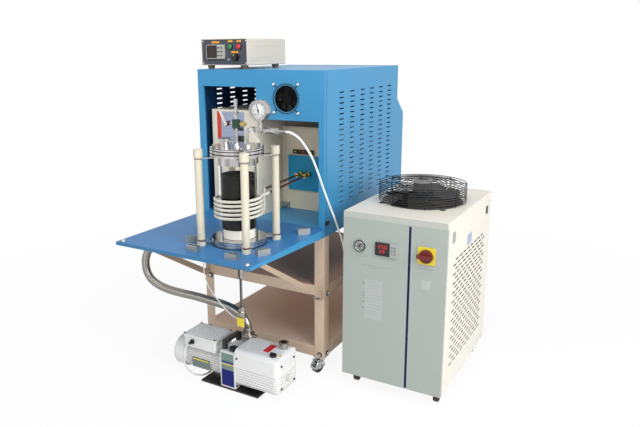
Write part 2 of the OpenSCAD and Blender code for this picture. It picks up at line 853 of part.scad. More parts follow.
module fan_frame() color("black") place() translate([fan_at[0], 0, table_z + seam + fan_at[1]]) {
    back = sheet + seam;
    hub_y = back + fan_housing_d - 8;
    translate([0, back, 0]) along_y(fan_housing_d) difference() {
        translate([-fan_screw - 8, -fan_screw - 8]) round_rect(2 * fan_screw + 16, 2 * fan_screw + 16, 8);
        circle(fan_r);
        for (x = [-1, 1], z = [-1, 1]) translate([x, z] * fan_screw) circle(2.5);
    }
    translate([0, hub_y, 0]) {
        pin_y(0.4 * fan_r, 8);
        translate([0, -18, 0]) pin_y(fan_axle_r, 18 + bite);
        for (a = [30, 150, 270]) rotate([0, a, 0]) box_at([0, 4, -3], [fan_r + 2, 4, 6]);
    }
    translate([0, -seam - 3, 0]) along_y(3) {
        difference() {
            circle(fan_r + 8);
            circle(fan_r + 5);
        }
        for (a = [45 : 90 : 315]) rotate(a) {
            translate([fan_r + 6, -2]) square([fan_screw * sqrt(2) - fan_r - 6, 4]);
            translate([fan_screw * sqrt(2), 0]) circle(6);
        }
    }
}

module fan_rotor() color("dimgray") place() translate([fan_at[0], 0, table_z + seam + fan_at[1]]) {
    blades = 7;
    difference() {
        union() {
            translate([0, 9, 0]) pin_y(0.36 * fan_r, 20);
            for (i = [0 : blades - 1]) rotate([0, i * 360 / blades, 0])
                translate([0.3 * fan_r, 19, 0]) rotate([38, 0, 0])
                    box_at([0, -1, -11], [0.66 * fan_r, 2, 22]);
        }
        translate([0, 12, 0]) pin_y(fan_axle_r + run_gap, 30);
    }
}

// Work coil and its leads

coil_base = table_z + coil_z;
coil_top = coil_base + coil_turns * coil_pitch;
coil_start = 58;
coil_end = 8;
lead_y = chamber_y + 112;
lead_l = [chamber_x + 63, lead_y, coil_top + 14];
lead_r = [chamber_x + 85, lead_y, coil_top];
coil_steps = 20;

function on_coil(a) = [
    chamber_x + coil_r * cos(a), chamber_y + coil_r * sin(a),
    coil_base + coil_pitch * (a - coil_start) / 360
];

// The lower end rises behind the coil, the upper end runs straight off
riser = [lead_l[0], chamber_y + 102, 0];
coil_sweep = 360 * coil_turns + coil_end - coil_start;
coil_path = concat(
    [
        lead_l, riser + [0, 2, coil_top + 10], riser + [0, 0, coil_top - 5],
        riser + [0, 0, coil_base + 30], riser + [-1, -2, coil_base + 10],
        [chamber_x + 56, chamber_y + 92, coil_base]
    ],
    [for (i = [1 : coil_steps * coil_turns]) on_coil(coil_start + coil_sweep * i / (coil_steps * coil_turns))],
    [lead_r - [0, 60, 1], lead_r - [0, 30, 0], lead_r]
);

module work_coil() color("white") place() swept(coil_path, coil_tube_r, 8);

module copper_leads() color("peru") place() {
    union_y = mod_r_y - term_t - 2 * seam;
    for (i = [0, 1]) {
        far = [union_left + i * union_pitch, union_y - union_l, table_z + union_z];
        near = i == 0 ? lead_l : lead_r;
        rod_between(near + seam * unit(far - near), far, coil_tube_r - 1);
        translate(far - [0, bite, 0]) pin_y(coil_tube_r + 2, union_l + bite);
        for (y = [0, union_l - 14]) translate(far + [0, y, 0]) rotate([-90, 0, 0])
            cylinder(r = coil_tube_r + 6, h = 14, $fn = 6);
    }
}

// Chamber

module at_rods()
    for (x = [-1, 1], y = [-1, 1]) translate([x, y, 0] * rod_pitch / 2) children();

// Four arms from a radius inside a ring of the chamber out to the clamp rods
module clamp_arms(start) {
    reach = rod_pitch / sqrt(2);
    difference() {
        union() for (a = [45 : 90 : 315]) rotate(a) {
            translate([start, -arm_w / 2, 0]) cube([reach - start, arm_w, arm_t]);
            translate([reach, 0, 0]) cylinder(r = arm_w / 2, h = arm_t);
        }
        at_rods() translate([0, 0, -bite]) cylinder(r = stud_r + seam, h = arm_t + 2 * bite);
    }
}

stud_r = 7;
arm_low = base_z + base_h - 2 * arm_t;
arm_high = ring_z - arm_t - 2;

module chamber_flanges() color("silver") place() translate(chamber) {
    translate([0, 0, base_z]) difference() {
        cylinder(r = base_r, h = base_h, $fn = 96);
        translate([0, 0, -bite]) cylinder(r = outlet_r + seam, h = base_h + 2 * bite);
    }
    translate([0, 0, arm_low]) clamp_arms(base_r - 12);
    translate([0, 0, ring_z - collar_h]) difference() {
        cylinder(r = quartz_r + collar_wall, h = collar_h + bite, $fn = 96);
        translate([0, 0, -bite]) cylinder(r = quartz_r + seam, h = collar_h + 3 * bite, $fn = 96);
    }
    translate([0, 0, arm_high]) clamp_arms(quartz_r + 2);
    for (z = [ring_z, ring_z + lid_t + seal_t]) translate([0, 0, z]) difference() {
        cylinder(r = lid_r, h = lid_t, $fn = 96);
        translate([0, 0, -bite]) cylinder(r = quartz_r - quartz_wall, h = lid_t + 2 * bite, $fn = 96);
    }
    translate([0, 0, lid_z]) cylinder(r = lid_r, h = lid_t, $fn = 96);
}

module chamber_seals() color("black") place() translate(chamber) {
    translate([0, 0, table_z]) difference() {
        cylinder(r = base_r + 2, h = seal_t, $fn = 96);
        translate([0, 0, -bite]) cylinder(r = outlet_r + seam, h = seal_t + 2 * bite);
    }
    for (z = [ring_z + lid_t, lid_z - seal_t]) translate([0, 0, z]) difference() {
        cylinder(r = lid_r - 1, h = seal_t, $fn = 96);
        translate([0, 0, -bite]) cylinder(r = quartz_r - quartz_wall, h = seal_t + 2 * bite, $fn = 96);
    }
}

module quartz_tube() color("lightcyan", 0.4) place() translate(chamber + [0, 0, quartz_z])
    difference() {
        cylinder(r = quartz_r, h = quartz_h, $fn = 96);
        translate([0, 0, -bite]) cylinder(r = quartz_r - quartz_wall, h = quartz_h + 2 * bite, $fn = 96);
    }

module pedestal() color("white") place() translate(chamber + [0, 0, quartz_z])
    cylinder(r = pedestal_r, h = pedestal_h, $fn = 96);

module crucible() color("dimgray") place() translate(chamber + [0, 0, quartz_z + pedestal_h])
    difference() {
        cylinder(r = crucible_r, h = crucible_h, $fn = 96);
        translate([0, 0, crucible_wall])
            cylinder(r = crucible_r - crucible_wall, h = crucible_h, $fn = 96);
    }

// Insulating rods between the arms, with a stud through each arm into a cap
module clamp_rods() color("ivory") place() translate(chamber) at_rods() {
    low = arm_low + arm_t;
    foot_z = table_z + seam;
    translate([0, 0, low]) cylinder(r = rod_r, h = arm_high - low);
    translate([0, 0, foot_z]) cylinder(r = cap_r, h = arm_low - foot_z);
    translate([0, 0, arm_high + arm_t]) cylinder(r = cap_r, h = cap_h);
    translate([0, 0, arm_low - bite]) cylinder(r = stud_r, h = arm_high - arm_low + arm_t + 2 * bite);
}

// Lid fittings

lever_pin_r = 3;
lid_lever_at = [chamber_x - 44, chamber_y, lid_top + stem_valve_z];
gas_lever_at = [chamber_x + 82, chamber_y, lid_top + gas_line_z];
lever_face = 12;
lever_t = 4;
sight_at = [-36, -38, 0];

module hex_nut(r, h) cylinder(r = r, h = h, $fn = 6);

module lid_fittings() color("silver") place() translate(chamber + [0, 0, lid_top]) {
    // Middle stem with its valve body, two side branches and end cap
    cylinder(r = stem_r, h = stem_h - 20);
    hex_nut(2 * stem_r, 10);
    box_at([-13, -11, stem_valve_z - 18], [26, 22, 36]);
    translate([0, 0, stem_valve_z + 30]) cylinder(r = 10, h = 32);
    translate([0, 0, stem_valve_z + 36]) hex_nut(13, 14);
    translate([0, 0, stem_h - 26]) cylinder(r = 8, h = 26);
    translate([-44, 0, stem_valve_z]) pin_x(5, 44);
    translate([-44, -lever_face + air, stem_valve_z]) pin_y(10, 2 * lever_face - air);
    translate([-44, -lever_face - lever_t - 2, stem_valve_z]) pin_y(lever_pin_r, 10);
    translate([0, 0, stem_valve_z]) pin_x(5, 52);
    translate([26, 0, stem_valve_z]) rotate([0, 90, 0]) hex_nut(10, 20);
    // Sight port
    translate(sight_at) {
        cylinder(r = port_r, h = port_h);
        translate([0, 0, port_h - 9]) cylinder(r = port_r + 6, h = 9);
        cylinder(r = port_r + 4, h = 5);
    }
    // Gas line: riser, elbow, tee under the gauge, ball valve and hose end
    bend = 2 * stem_r;
    translate([gas_riser_x, 0, 0]) {
        cylinder(r = stem_r, h = gas_line_z - bend);
        hex_nut(2 * stem_r, 8);
        translate([bend, 0, gas_line_z - bend]) rotate([90, 0, 0])
            rotate_extrude(angle = 90, start = 90) translate([bend, 0]) circle(stem_r);
    }
    translate([gas_riser_x + bend, 0, gas_line_z]) pin_x(stem_r, gas_end_x - gas_riser_x - bend - 30);
    translate([gauge_x - 48, -lever_face + air, gas_line_z - 11]) cube([24, 2 * lever_face - air, 22]);
    translate([gas_lever_at[0] - chamber_x, -lever_face - lever_t - 2, gas_line_z]) pin_y(lever_pin_r, 10);
    translate([gauge_x - 14, 0, gas_line_z]) pin_x(11, 28);
    translate([gauge_x + 20, 0, gas_line_z]) rotate([0, 90, 0]) hex_nut(13, 16);
    translate([gauge_x + 34, 0, gas_line_z]) pin_x(12, 34);
    translate([gauge_x + 66, 0, gas_line_z]) rotate([0, 90, 0]) hex_nut(13, 14);
    translate([gas_end_x - 34, 0, gas_line_z]) pin_x(4, 34);
    // Top socket of the tee, under the gauge's stem
    translate([gauge_x, 0, gas_line_z]) cylinder(r = 9, h = 20);
}

// A flat lever on a pin, drawn along +X with its pivot at the origin
module lever(angle) {
    rotate([0, -angle, 0]) along_y(lever_t) difference() {
        union() {
            circle(8);
            translate([0, -4.5]) square([lever_l - 5, 9]);
            translate([lever_l - 5, 0]) circle(4.5);
        }
        circle(lever_pin_r + run_gap);
    }
}

module lid_valve_lever() color("silver") place()
    translate(lid_lever_at - [0, lever_face + lever_t, 0]) lever(118);

module gas_valve_lever() color("silver") place()
    translate(gas_lever_at - [0, lever_face + lever_t, 0]) lever(-48);

gauge_at = [chamber_x + gauge_x, chamber_y, lid_top + gauge_z];
needle_pin_r = 1.5;
dial_recess = 5;

module gauge_case() color("silver") place() translate(gauge_at) {
    front = -gauge_d / 2;
    difference() {
        union() {
            translate([0, front, 0]) pin_y(gauge_r, gauge_d);
            translate([0, front, 0]) pin_y(gauge_r + 2, 7);
            translate([0, -front - 4, 0]) pin_y(gauge_r + 1, 4);
        }
        translate([0, front - bite, 0]) pin_y(gauge_r - 4, dial_recess + bite);
    }
    translate([0, front + 1, 0]) pin_y(needle_pin_r, dial_recess);
    stem_low = gas_line_z + 20 - gauge_z;
    translate([0, 0, stem_low + seam]) cylinder(r = stem_r, h = -stem_low - gauge_r + 6);
    translate([0, 0, stem_low + seam + 2]) hex_nut(10, 9);
    translate([0, 0, gauge_r - 2]) cylinder(r = 7, h = 5);
}

// A gauge's needle: round hub, slim pointer and short tail
module needle(length, r) {
    difference() {
        union() {
            pin_y(3 * r, 1.5);
            along_y(1) polygon([[-1.6, -0.35 * length], [1.6, -0.35 * length], [0.5, length], [-0.5, length]]);
        }
        translate([0, -bite, 0]) pin_y(r + run_gap, 2 * bite + 2);
    }
}

module gauge_needle() color("black") place()
    translate(gauge_at + [0, -gauge_d / 2 + 2, 0]) rotate([0, -15, 0]) needle(gauge_r - 10, needle_pin_r);

// Control box on the cabinet

box_z = cab_top + foot_h;
panel_in = 4;
panel_t = 5;
panel_y = box_y + panel_in;
disp_x = 30;
disp_z = 31;
start_at = [172, 87];
stop_at = [222, 87];
dial_at = [203, 38];
lamp_at = [162, 27];
knob_pin_r = 3;
button_skirt = 4;

module control_case() color("antiquewhite") place() translate([box_x, box_y, box_z]) {
    difference() {
        along_y(box_d) round_rect(box_w, box_h, 4);
        translate([box_wall, -bite, box_wall])
            cube([box_w - 2 * box_wall, box_d - box_wall + bite, box_h - 2 * box_wall]);
        for (z = [0.15, 0.85], x = [-bite, box_w - 1])
            box_at([x, 12, box_h * z], [1 + bite, box_d, 2]);
    }
    for (x = [36, box_w - 36], y = [30, box_d - 40]) translate([x, y, -foot_h]) {
        cylinder(r1 = 14, r2 = 18, h = foot_h - 6);
        translate([0, 0, foot_h - 6]) cylinder(r = 18, h = 6 + bite);
    }
}

module control_panel() color("darkslategray") place() {
    gap = box_wall + seam;
    difference() {
        translate([box_x + gap, panel_y, box_z + gap])
            cube([box_w - 2 * gap, panel_t, box_h - 2 * gap]);
        for (p = [start_at, stop_at]) translate([box_x + p[0], panel_y - bite, box_z + p[1]])
            pin_y(button_r + 2 * run_gap, panel_t + 2 * bite);
    }
    for (p = [start_at, stop_at]) translate([box_x + p[0], panel_y - button_skirt, box_z + p[1]])
        difference() {
            pin_y(button_r + 3.5, button_skirt + bite);
            translate([0, -bite, 0]) pin_y(button_r + 2 * run_gap, button_skirt + 3 * bite);
        }
    translate([box_x + disp_x, panel_y - 5, box_z + disp_z]) along_y(5 + bite) difference() {
        round_rect(disp_w, disp_h, 3);
        translate([7, 8]) square([0.5 * disp_w, disp_h - 16]);
    }
    translate([box_x + disp_x + 6, panel_y - 3, box_z + disp_z + 7])
        cube([0.5 * disp_w + 2, 3 + bite, disp_h - 14]);
    for (c = [0, 1], r = [0 : 2])
        translate([box_x + disp_x + 0.5 * disp_w + 19 + 18 * c, panel_y - 7, box_z + disp_z + 15 + 18 * r])
            along_y(3) translate([-5, -3]) round_rect(10, 6, 2);
    translate([box_x + lamp_at[0], panel_y - 4, box_z + lamp_at[1]]) pin_y(5, 4 + bite);
    translate([box_x + dial_at[0], panel_y - 14, box_z + dial_at[1]]) pin_y(knob_pin_r, 14 + bite);
}

// A push button: crowned cap on a stem that slides through the panel
module push_button(at)
    translate([box_x + at[0], panel_y, box_z + at[1]]) {
        out = button_skirt + button_travel + 1;
        translate([0, -out + 2, 0]) pin_y(button_r, out - 2 + panel_t - 2);
        translate([0, -out, 0]) rotate([-90, 0, 0]) cylinder(r1 = button_r - 2, r2 = button_r, h = 2);
    }

module start_button() color("green") place() push_button(start_at);
module stop_button() color("red") place() push_button(stop_at);

module power_knob() color("black") place()
    translate([box_x + dial_at[0], panel_y - air, box_z + dial_at[1]]) difference() {
        union() {
            translate([0, -6, 0]) pin_y(knob_r, 6);
            translate([0, -20, 0]) rotate([-90, 0, 0]) cylinder(r1 = knob_r - 5, r2 = knob_r - 3, h = 14 + bite);
            for (i = [0 : 11]) rotate([0, 30 * i, 0]) translate([knob_r - 4, -19, 0]) pin_y(2, 18);
        }
        translate([0, -15, 0]) pin_y(knob_pin_r + run_gap, 16 + bite);
    }

// Chamber outlet and vacuum pump

pump_y = -pump_front + pump_d / 2;
block_top = block_z + block_h;
case_x = block_x + block_w;
motor_x = block_x - motor_l;
inlet_at = [block_x + 54, -pump_front + 150, block_top];
exhaust_at = [case_x + 188, -pump_front + 124, case_z + case_h];
cap_at = [case_x + 188, -pump_front + 34, case_z + case_h];
ballast_at = [block_x + 54, -pump_front + 34, block_top];
gland_at = [block_x - tbox_l + 15, 0, tbox_top - 32];
tbox_y = pump_y - tbox_d / 2 - 6;

module pump_base() color("black") place() difference() {
    translate([block_x + block_w / 2 - pbase_l / 2, -pump_front + 4, 0])
        cube([pbase_l, pump_d - 8, pbase_t]);
    for (x = [-1, 1], y = [-1, 1])
        translate([block_x + block_w / 2 + x * (pbase_l / 2 - 20), pump_y + y * (pump_d / 2 - 24), -bite])
            cylinder(r = 4.5, h = pbase_t + 2 * bite);
}

// Pump block on two feet, with a padded carrying handle over it
module pump_block() color("white") place() translate([block_x, -pump_front, 0]) {
    grip_z = block_top + grip_h;
    difference() {
        translate([0, 0, block_z]) cube([block_w, pump_d, block_h]);
        for (y = [-bite, pump_d - 3]) translate([-bite, y, block_top - 3])
            cube([block_w + 2 * bite, 3 + bite, 3 + bite]);
    }
    for (y = [12, pump_d - 42]) box_at([4, y, pbase_t], [block_w - 8, 30, block_z - pbase_t + bite]);
    translate([1, 16, 0]) {
        for (y = [0, pump_d - 64]) box_at([0, y, block_top - bite], [grip_t + 4, 18, grip_h + bite]);
        translate([0, 0, grip_z - bite]) along_x(grip_t + 4) round_rect(pump_d - 46, grip_t, 5);
    }
}

// Oil case: long edges rounded, cooling ribs round its lower half
module case_form(inset) {
    r = case_round;
    translate([inset, 0, 0]) intersection() {
        translate([-inset, 0, 0]) along_x(case_l - inset) translate([inset, inset])
            round_rect(pump_d - 2 * inset, case_h - 2 * inset, r - inset);
        translate([-2 * r, inset, 0]) along_y(pump_d - 2 * inset) translate([0, inset])
            round_rect(case_l + 2 * r - inset - inset, case_h - 2 * inset, r - inset);
        translate([-2 * r, inset, 0]) linear_extrude(case_h)
            round_rect(case_l + 2 * r - inset - inset, pump_d - 2 * inset, r - inset);
    }
}

module oil_case() color("white") place() translate([case_x + seam, -pump_front, case_z]) difference() {
    case_form(0);
    for (i = [0 : rib_count - 1]) difference() {
        translate([8, -bite, 14 + i * rib_step])
            cube([case_l + bite, pump_d + 2 * bite, rib_step * 0.35]);
        case_form(rib_d);
    }
    translate([exhaust_at[0] - case_x - seam, exhaust_at[1] + pump_front, case_h - 8])
        cylinder(r = exhaust_r, h = 10);
    translate([case_l - rib_d, pump_d / 2, 60]) pin_x(16, rib_d + bite);
}

// Motor: finned body, cowl with an air grille, terminal box with a ribbed lid
module pump_motor() color("white") place() {
    translate([motor_x, pump_y, motor_z]) {
        along_x(motor_l - seam) union() {
            circle(motor_r - 9);
            for (i = [0 : motor_fins - 1]) rotate(i * 360 / motor_fins)
                translate([0, -1.25]) square([motor_r, 2.5]);
        }
        for (x = [0, motor_l - 16 - seam]) translate([x, 0, 0]) pin_x(motor_r + 1, 16);
        difference() {
            rotate([0, -90, 0]) rotate_extrude($fn = 96) {
                square([cowl_r, cowl_l - 12]);
                square([cowl_r - 12, cowl_l]);
                translate([cowl_r - 12, cowl_l - 12]) circle(12);
            }
            for (ring = [0 : 3], i = [0 : 11]) rotate([i * 30, 0, 0])
                translate([-cowl_l - bite, -3, 14 + ring * 12]) cube([6, 6 + ring * 3, 6]);
        }
    }
    translate([block_x - tbox_l - 40 + 2, tbox_y, tbox_top]) {
        low = motor_z + motor_r - 12 - tbox_top;
        translate([0, 0, low]) linear_extrude(-low - 14) round_rect(tbox_l, tbox_d, 8);
        translate([-3, -3, -14 + seam]) linear_extrude(12) round_rect(tbox_l + 6, tbox_d + 6, 9);
        for (i = [0 : 6]) translate([12, 14 + i * (tbox_d - 34) / 6, -3])
            cube([tbox_l - 24, 6, 3]);
    }
}

neck_h = 26;
clamp_h = 14;
bend = 70;
elbow_turn = 55;
elbow_z = neck_h + clamp_h + 20;

module pump_fittings() color("silver") place() {
    // Inlet port with its ring clamp and the elbow to the vacuum hose
    translate(inlet_at) {
        cylinder(r = elbow_r + 4, h = neck_h);
        translate([0, 0, neck_h - bite]) cylinder(r = elbow_r + 12, h = clamp_h);
        box_at([elbow_r + 8, -7, neck_h], [22, 14, clamp_h - 2]);
        translate([0, 0, neck_h]) cylinder(r = elbow_r + 1, h = elbow_z - neck_h + 2);
        translate([-bend, 0, elbow_z]) rotate([90, 0, 0]) {
            rotate_extrude(angle = elbow_turn) translate([bend, 0]) circle(elbow_r);
            rotate(elbow_turn) translate([bend, -10, 0]) rotate([-90, 0, 0]) cylinder(r = elbow_r + 2, h = 12);
        }
    }
    // Outlet valve of the chamber, with the link down to the inlet elbow
    valve_z = table_z - sheet - outlet_l;
    translate([chamber_x, chamber_y, 0]) {
        translate([0, 0, valve_z]) cylinder(r = outlet_r, h = outlet_l + sheet + seal_t + base_h / 2);
        for (nut = [[0.5, 44], [0.88, 26]]) translate([0, 0, valve_z + outlet_l * nut[0]]) hex_nut(13, nut[1]);
        translate([0, 0, valve_z - outlet_valve_h]) cylinder(r = outlet_valve_r, h = outlet_valve_h);
        translate([0, 0, valve_z - 4]) hex_nut(outlet_valve_r - 3, 26);
    }
    rod_between([chamber_x, chamber_y, valve_z - outlet_valve_h + 8], inlet_at + [0, 0, elbow_z + 4], 9);
    // Exhaust port on the oil case
    translate(exhaust_at) difference() {
        union() {
            translate([0, 0, -8 + seam]) cylinder(r = exhaust_r - seam, h = 10);
            translate([0, 0, seam]) cylinder(r = exhaust_r + 4, h = exhaust_h);
            translate([0, 0, exhaust_h - 5]) cylinder(r = exhaust_r + 9, h = 5);
        }
        translate([0, 0, 4]) cylinder(r = exhaust_r, h = exhaust_h);
    }
    // Oil filler cap, sight glass and cable gland
    translate(cap_at + [0, 0, seam]) {
        cylinder(r = 16, h = 9);
        box_at([-14, -4, 8], [28, 8, 8]);
    }
    translate([case_x + case_l - rib_d + 2 * seam, pump_y, case_z + 60]) pin_x(15, 6);
    translate([gland_at[0], tbox_y - 3 - seam, gland_at[2]]) rotate([90, 0, 0]) {
        cylinder(r = 12, h = 8, $fn = 6);
        cylinder(r1 = 9, r2 = 5.5, h = 30);
    }
}

module ballast_knob() color("black") place() translate(ballast_at + [0, 0, air]) {
    for (i = [0 : 5]) rotate(60 * i) translate([ballast_r - 5, 0, 0]) cylinder(r = 5, h = ballast_h);
    cylinder(r = ballast_r - 3, h = ballast_h);
    translate([0, -3, ballast_h - bite]) cube([ballast_r + 4, 6, 5]);
}

// Hoses, tubes and cables. Each route is a list of points from the frame's left front trolley leg

hose_r = 21;
hose_route = [
    [369, -200, 307], [347, -200, 322], [318, -201, 334], [280, -203, 343], [235, -205, 349],
    [170, -208, 354], [95, -212, 359], [20, -218, 362], [-55, -224, 368], [-120, -228, 382], [-172, -230, 410],
    [-200, -228, 455], [-204, -222, 510], [-188, -205, 560], [-150, -170, 600], [-100, -130, 622],
    [-40, -95, 632], [25, -65, 636], [75, -25, 638], [102, 30, 644], [110, 76, 664], [110, 90, 690],
];

module vacuum_hose() color("silver") place() swept(smooth(hose_route, 2), hose_r, 12);

cable_r = 2.5;
cable_route = [
    [268, -352, 729], [269, -352, 690], [270, -352, 640], [272, -352, 590], [276, -352, 545],
    [288, -352, 508], [308, -352, 478], [334, -352, 450], [364, -352, 422], [394, -352, 398],
    [420, -352, 382], [442, -352, 374], [460, -352, 372],
];

module sensor_cable() color("whitesmoke") place() swept(smooth(cable_route, 3), cable_r, 8);

tube_r = 4.5;
tube_route = [
    [714, -352, 1219], [728, -350, 1217], [748, -328, 1200], [765, -288, 1155], [774, -240, 1094],
    [776, -198, 1030], [774, -150, 959], [772, -104, 895], [768, -60, 841], [764, -14, 784],
    [758, 30, 729], [757, 64, 680], [757, 94, 612], [757, 112, 530], [757, 124, 440],
    [757, 132, 350], [757, 142, 260], [757, 160, 172], [757, 190, 98], [757, 232, 42],
    [758, 286, 12], [760, 350, 5], [764, 430, 5], [770, 510, 5], [780, 590, 5],
    [796, 660, 5], [820, 712, 5], [852, 744, 5], [884, 755, 6], [916, 757, 8],
];

module gas_tube() color("white") place() swept(smooth(tube_route, 2), tube_r, 8);

// The gas tube's spare length, wound flat behind the chiller
tube_coil_r = 50;
tube_coil_at = [918, 806, 0];
module gas_tube_coil() color("white") place() translate(tube_coil_at)
    rotate_extrude() translate([tube_coil_r - 9, 0.5]) round_rect(18, 18, 6);

cord_r = 4;
cord_route = [
    [176, -370.2, 190], [176, -380, 189], [177, -392, 184], [178, -400, 173], [178, -403, 156],
    [176, -402, 134], [173, -399, 110], [172, -392, 86], [176, -380, 62], [186, -364, 40],
    [197, -342, 22], [205, -314, 11], [209, -284, 6], [209, -254, 5], [202, -222, 5],
    [184, -198, 5], [164, -188, 6], [146, -186, 8],
];

module pump_cord() color("beige") place() swept(smooth(cord_route, 2), cord_r, 10);

// The pump cord's spare length, wound flat on the floor behind the motor, with its plug beside it
cord_coil_r = 45;
cord_coil_at = [150, -140, 0];
module pump_cord_coil() color("beige") place() translate(cord_coil_at)
    rotate_extrude() translate([cord_coil_r - 8, 0.5]) round_rect(16, 24, 6);

plug_at = [104, -124, 0];
module pump_plug() color("beige") place() translate(plug_at) rotate([0, 0, 100]) {
    translate([0, 0, 14]) rotate([0, 90, 0]) cylinder(r1 = 6, r2 = 13, h = 34);
    translate([34 - bite, 0, 14]) rotate([0, 90, 0]) cylinder(r = 13, h = 8 + bite);
    for (y = [-1, 1]) translate([41, 5 * y, 18]) rotate([0, 90, 0]) cylinder(r = 2, h = 19);
    translate([41, 0, 8]) rotate([0, 90, 0]) cylinder(r = 2.4, h = 21);
}

// Chiller, drawn from its own left front lower corner

module at_chiller() place() translate([chill_x, chill_y, chill_caster_h]) children();

module grille()
    for (r = [0 : grille_rows - 1], c = [0 : grille_cols - 1]) {
        odd = r % 2;
        if (c < grille_cols - odd)
            translate([grille_front + (c + odd / 2) * grille_pitch, grille_low + r * grille_step])
                square([grille_l, grille_h]);
    }

condenser_t = 26;
port_z = 180;

module chiller_shell() color("ivory") at_chiller() {
    t = chill_t;
    wall_y = door_t + seam;
    wall_h = chill_h - cover_h - seam;
    for (x = [0, chill_w - t]) translate([x, 0, 0]) along_x(t) difference() {
        translate([wall_y, 0]) square([chill_d - wall_y, wall_h]);
        grille();
    }
    // Rear panel with its water ports and cable gland
    box_at([t + seam, chill_d - t, t + seam], [chill_w - 2 * (t + seam), t, wall_h - t - seam]);
    for (x = [90, 170]) translate([x, chill_d + seam, port_z]) {
        rotate([-90, 0, 0]) cylinder(r = 1.6 * water_r, h = 8, $fn = 6);
        pin_y(water_r, water_l);
    }
    translate([chill_w - 90, chill_d + seam, port_z]) pin_y(14, 16);
    box_at([t + seam, wall_y, 0], [chill_w - 2 * (t + seam), chill_d - wall_y, t]);
    // Top cover with folded edges and the fan's opening
    difference() {
        box_at([0, 0, chill_h - cover_h], [chill_w, chill_d, cover_h]);
        box_at([t, t, chill_h - cover_h - bite], [chill_w - 2 * t, chill_d - 2 * t, cover_h - t + bite]);
        translate([chill_w / 2, chill_d / 2, chill_h - t - bite])
            cylinder(r = cage_r - 14, h = t + 2 * bite, $fn = 96);
    }
    // Condenser packs behind the two grilles, standing on the floor pan
    for (x = [8, chill_w - 8 - condenser_t])
        box_at([x, grille_front - 20, t + seam], [condenser_t, grille_cols * grille_pitch + 40, wall_h - 60]);
}

module chiller_front() color("honeydew") at_chiller() difference() {
    box_at([0, 0, 0], [chill_w, door_t, chill_h - cover_h - seam]);
    box_at([strip_x, -bite, -bite], [strip_w, 1.5 + bite, chill_h]);
}

module chiller_instruments() color("darkslategray") at_chiller() {
    z = chill_h - instr_drop;
    // Pressure gauge
    translate([cgauge_at[0], -8 - seam, z]) {
        difference() {
            pin_y(cgauge_r, 8);
            translate([0, -bite, 0]) pin_y(cgauge_r - 4, 4 + bite);
        }
        translate([0, 1, 0]) pin_y(needle_pin_r, 4);
    }
    // Controller with its display window and keys
    translate([ctrl_at[0] - ctrl_w / 2, -7 - seam, z - ctrl_h / 2]) {
        along_y(7) difference() {
            round_rect(ctrl_w, ctrl_h, 4);
            translate([6, 6]) square([0.58 * ctrl_w, ctrl_h - 12]);
        }
        box_at([5, 2, 5], [0.58 * ctrl_w + 2, 4, ctrl_h - 10]);
        for (x = [0, 1], k = [0 : 2])
            translate([0.58 * ctrl_w + 17 + 14 * x, -2, 15 + 14 * k]) pin_y(4.5, 3);
    }
    // Main switch's plate and shaft
    translate([switch_at[0], -5 - seam, z]) {
        translate([-switch_w / 2, 0, -switch_w / 2]) along_y(5) round_rect(switch_w, switch_w, 4);
        translate([0, -16, 0]) pin_y(5, 16 + bite);
    }
}

cgauge_at = [80, 0];
ctrl_at = [206, 0];
switch_at = [382, 0];

module chiller_needle() color("black") at_chiller()
    translate([cgauge_at[0], -7 - seam, chill_h - instr_drop]) rotate([0, 40, 0])
        needle(cgauge_r - 9, needle_pin_r);

module switch_knob() color("darkred") at_chiller()
    translate([switch_at[0], -5 - seam - air, chill_h - instr_drop]) difference() {
        union() {
            translate([0, -9, 0]) pin_y(switch_r, 9);
            translate([0, -24, 0]) along_y(17) {
                translate([-switch_r - 6, -8]) square([2 * switch_r + 2, 16]);
                translate([switch_r - 4, 0]) circle(8);
            }
        }
        translate([0, -18, 0]) pin_y(5 + run_gap, 20);
    }

// Chiller fan: cage of rings and wires, motor under its top, five blades below

cage_z = chill_h + seam;
cage_top = cage_z + cage_h;

module wire_ring(r, z) translate([0, 0, z]) rotate_extrude($fn = 96) translate([r - wire, 0])
    square([wire, wire]);

module fan_cage() color("black") at_chiller() translate([chill_w / 2, chill_d / 2, 0]) {
    ring_step = (cage_h - 10) / (cage_rings - 1);
    posts = 8;
    for (i = [0 : cage_rings - 1]) wire_ring(cage_r, cage_z + 8 + i * ring_step - wire / 2);
    for (r = [fan_motor_r + 10 : 20 : cage_r - 10]) wire_ring(r, cage_top - wire);
    for (i = [0 : posts - 1]) rotate(i * 360 / posts + 360 / posts / 2) {
        box_at([cage_r - 2 * wire, -wire / 2, cage_z], [wire, wire, cage_h]);
        box_at([fan_motor_r - 4, -wire / 2, cage_top - 2 * wire], [cage_r - fan_motor_r + 4 - wire, wire, wire]);
    }
    for (a = [45 : 90 : 315]) rotate(a) translate([cage_r - 12, -10, cage_z]) cube([24, 20, 3]);
    translate([0, 0, cage_top - 34]) cylinder(r = fan_motor_r, h = 34);
    translate([0, 0, cage_top - 60]) cylinder(r = 6, h = 28);
}

module chiller_fan() color("black") at_chiller() translate([chill_w / 2, chill_d / 2, cage_top - 58]) {
    blades = 5;
    hub_r = fan_motor_r + 6;
    difference() {
        union() {
            cylinder(r = hub_r, h = 23);
            for (i = [0 : blades - 1]) rotate(i * 360 / blades)
                translate([hub_r - 8, 0, 8]) rotate([24, 0, 0]) linear_extrude(2.5)
                    polygon([[0, -24], [0, 24], [blade_l * 0.6, 46], [blade_l, 40], [blade_l + 6, -10],
                             [blade_l * 0.7, -34]]);
        }
        translate([0, 0, -bite]) cylinder(r = 6 + run_gap, h = 23 + 2 * bite);
    }
}

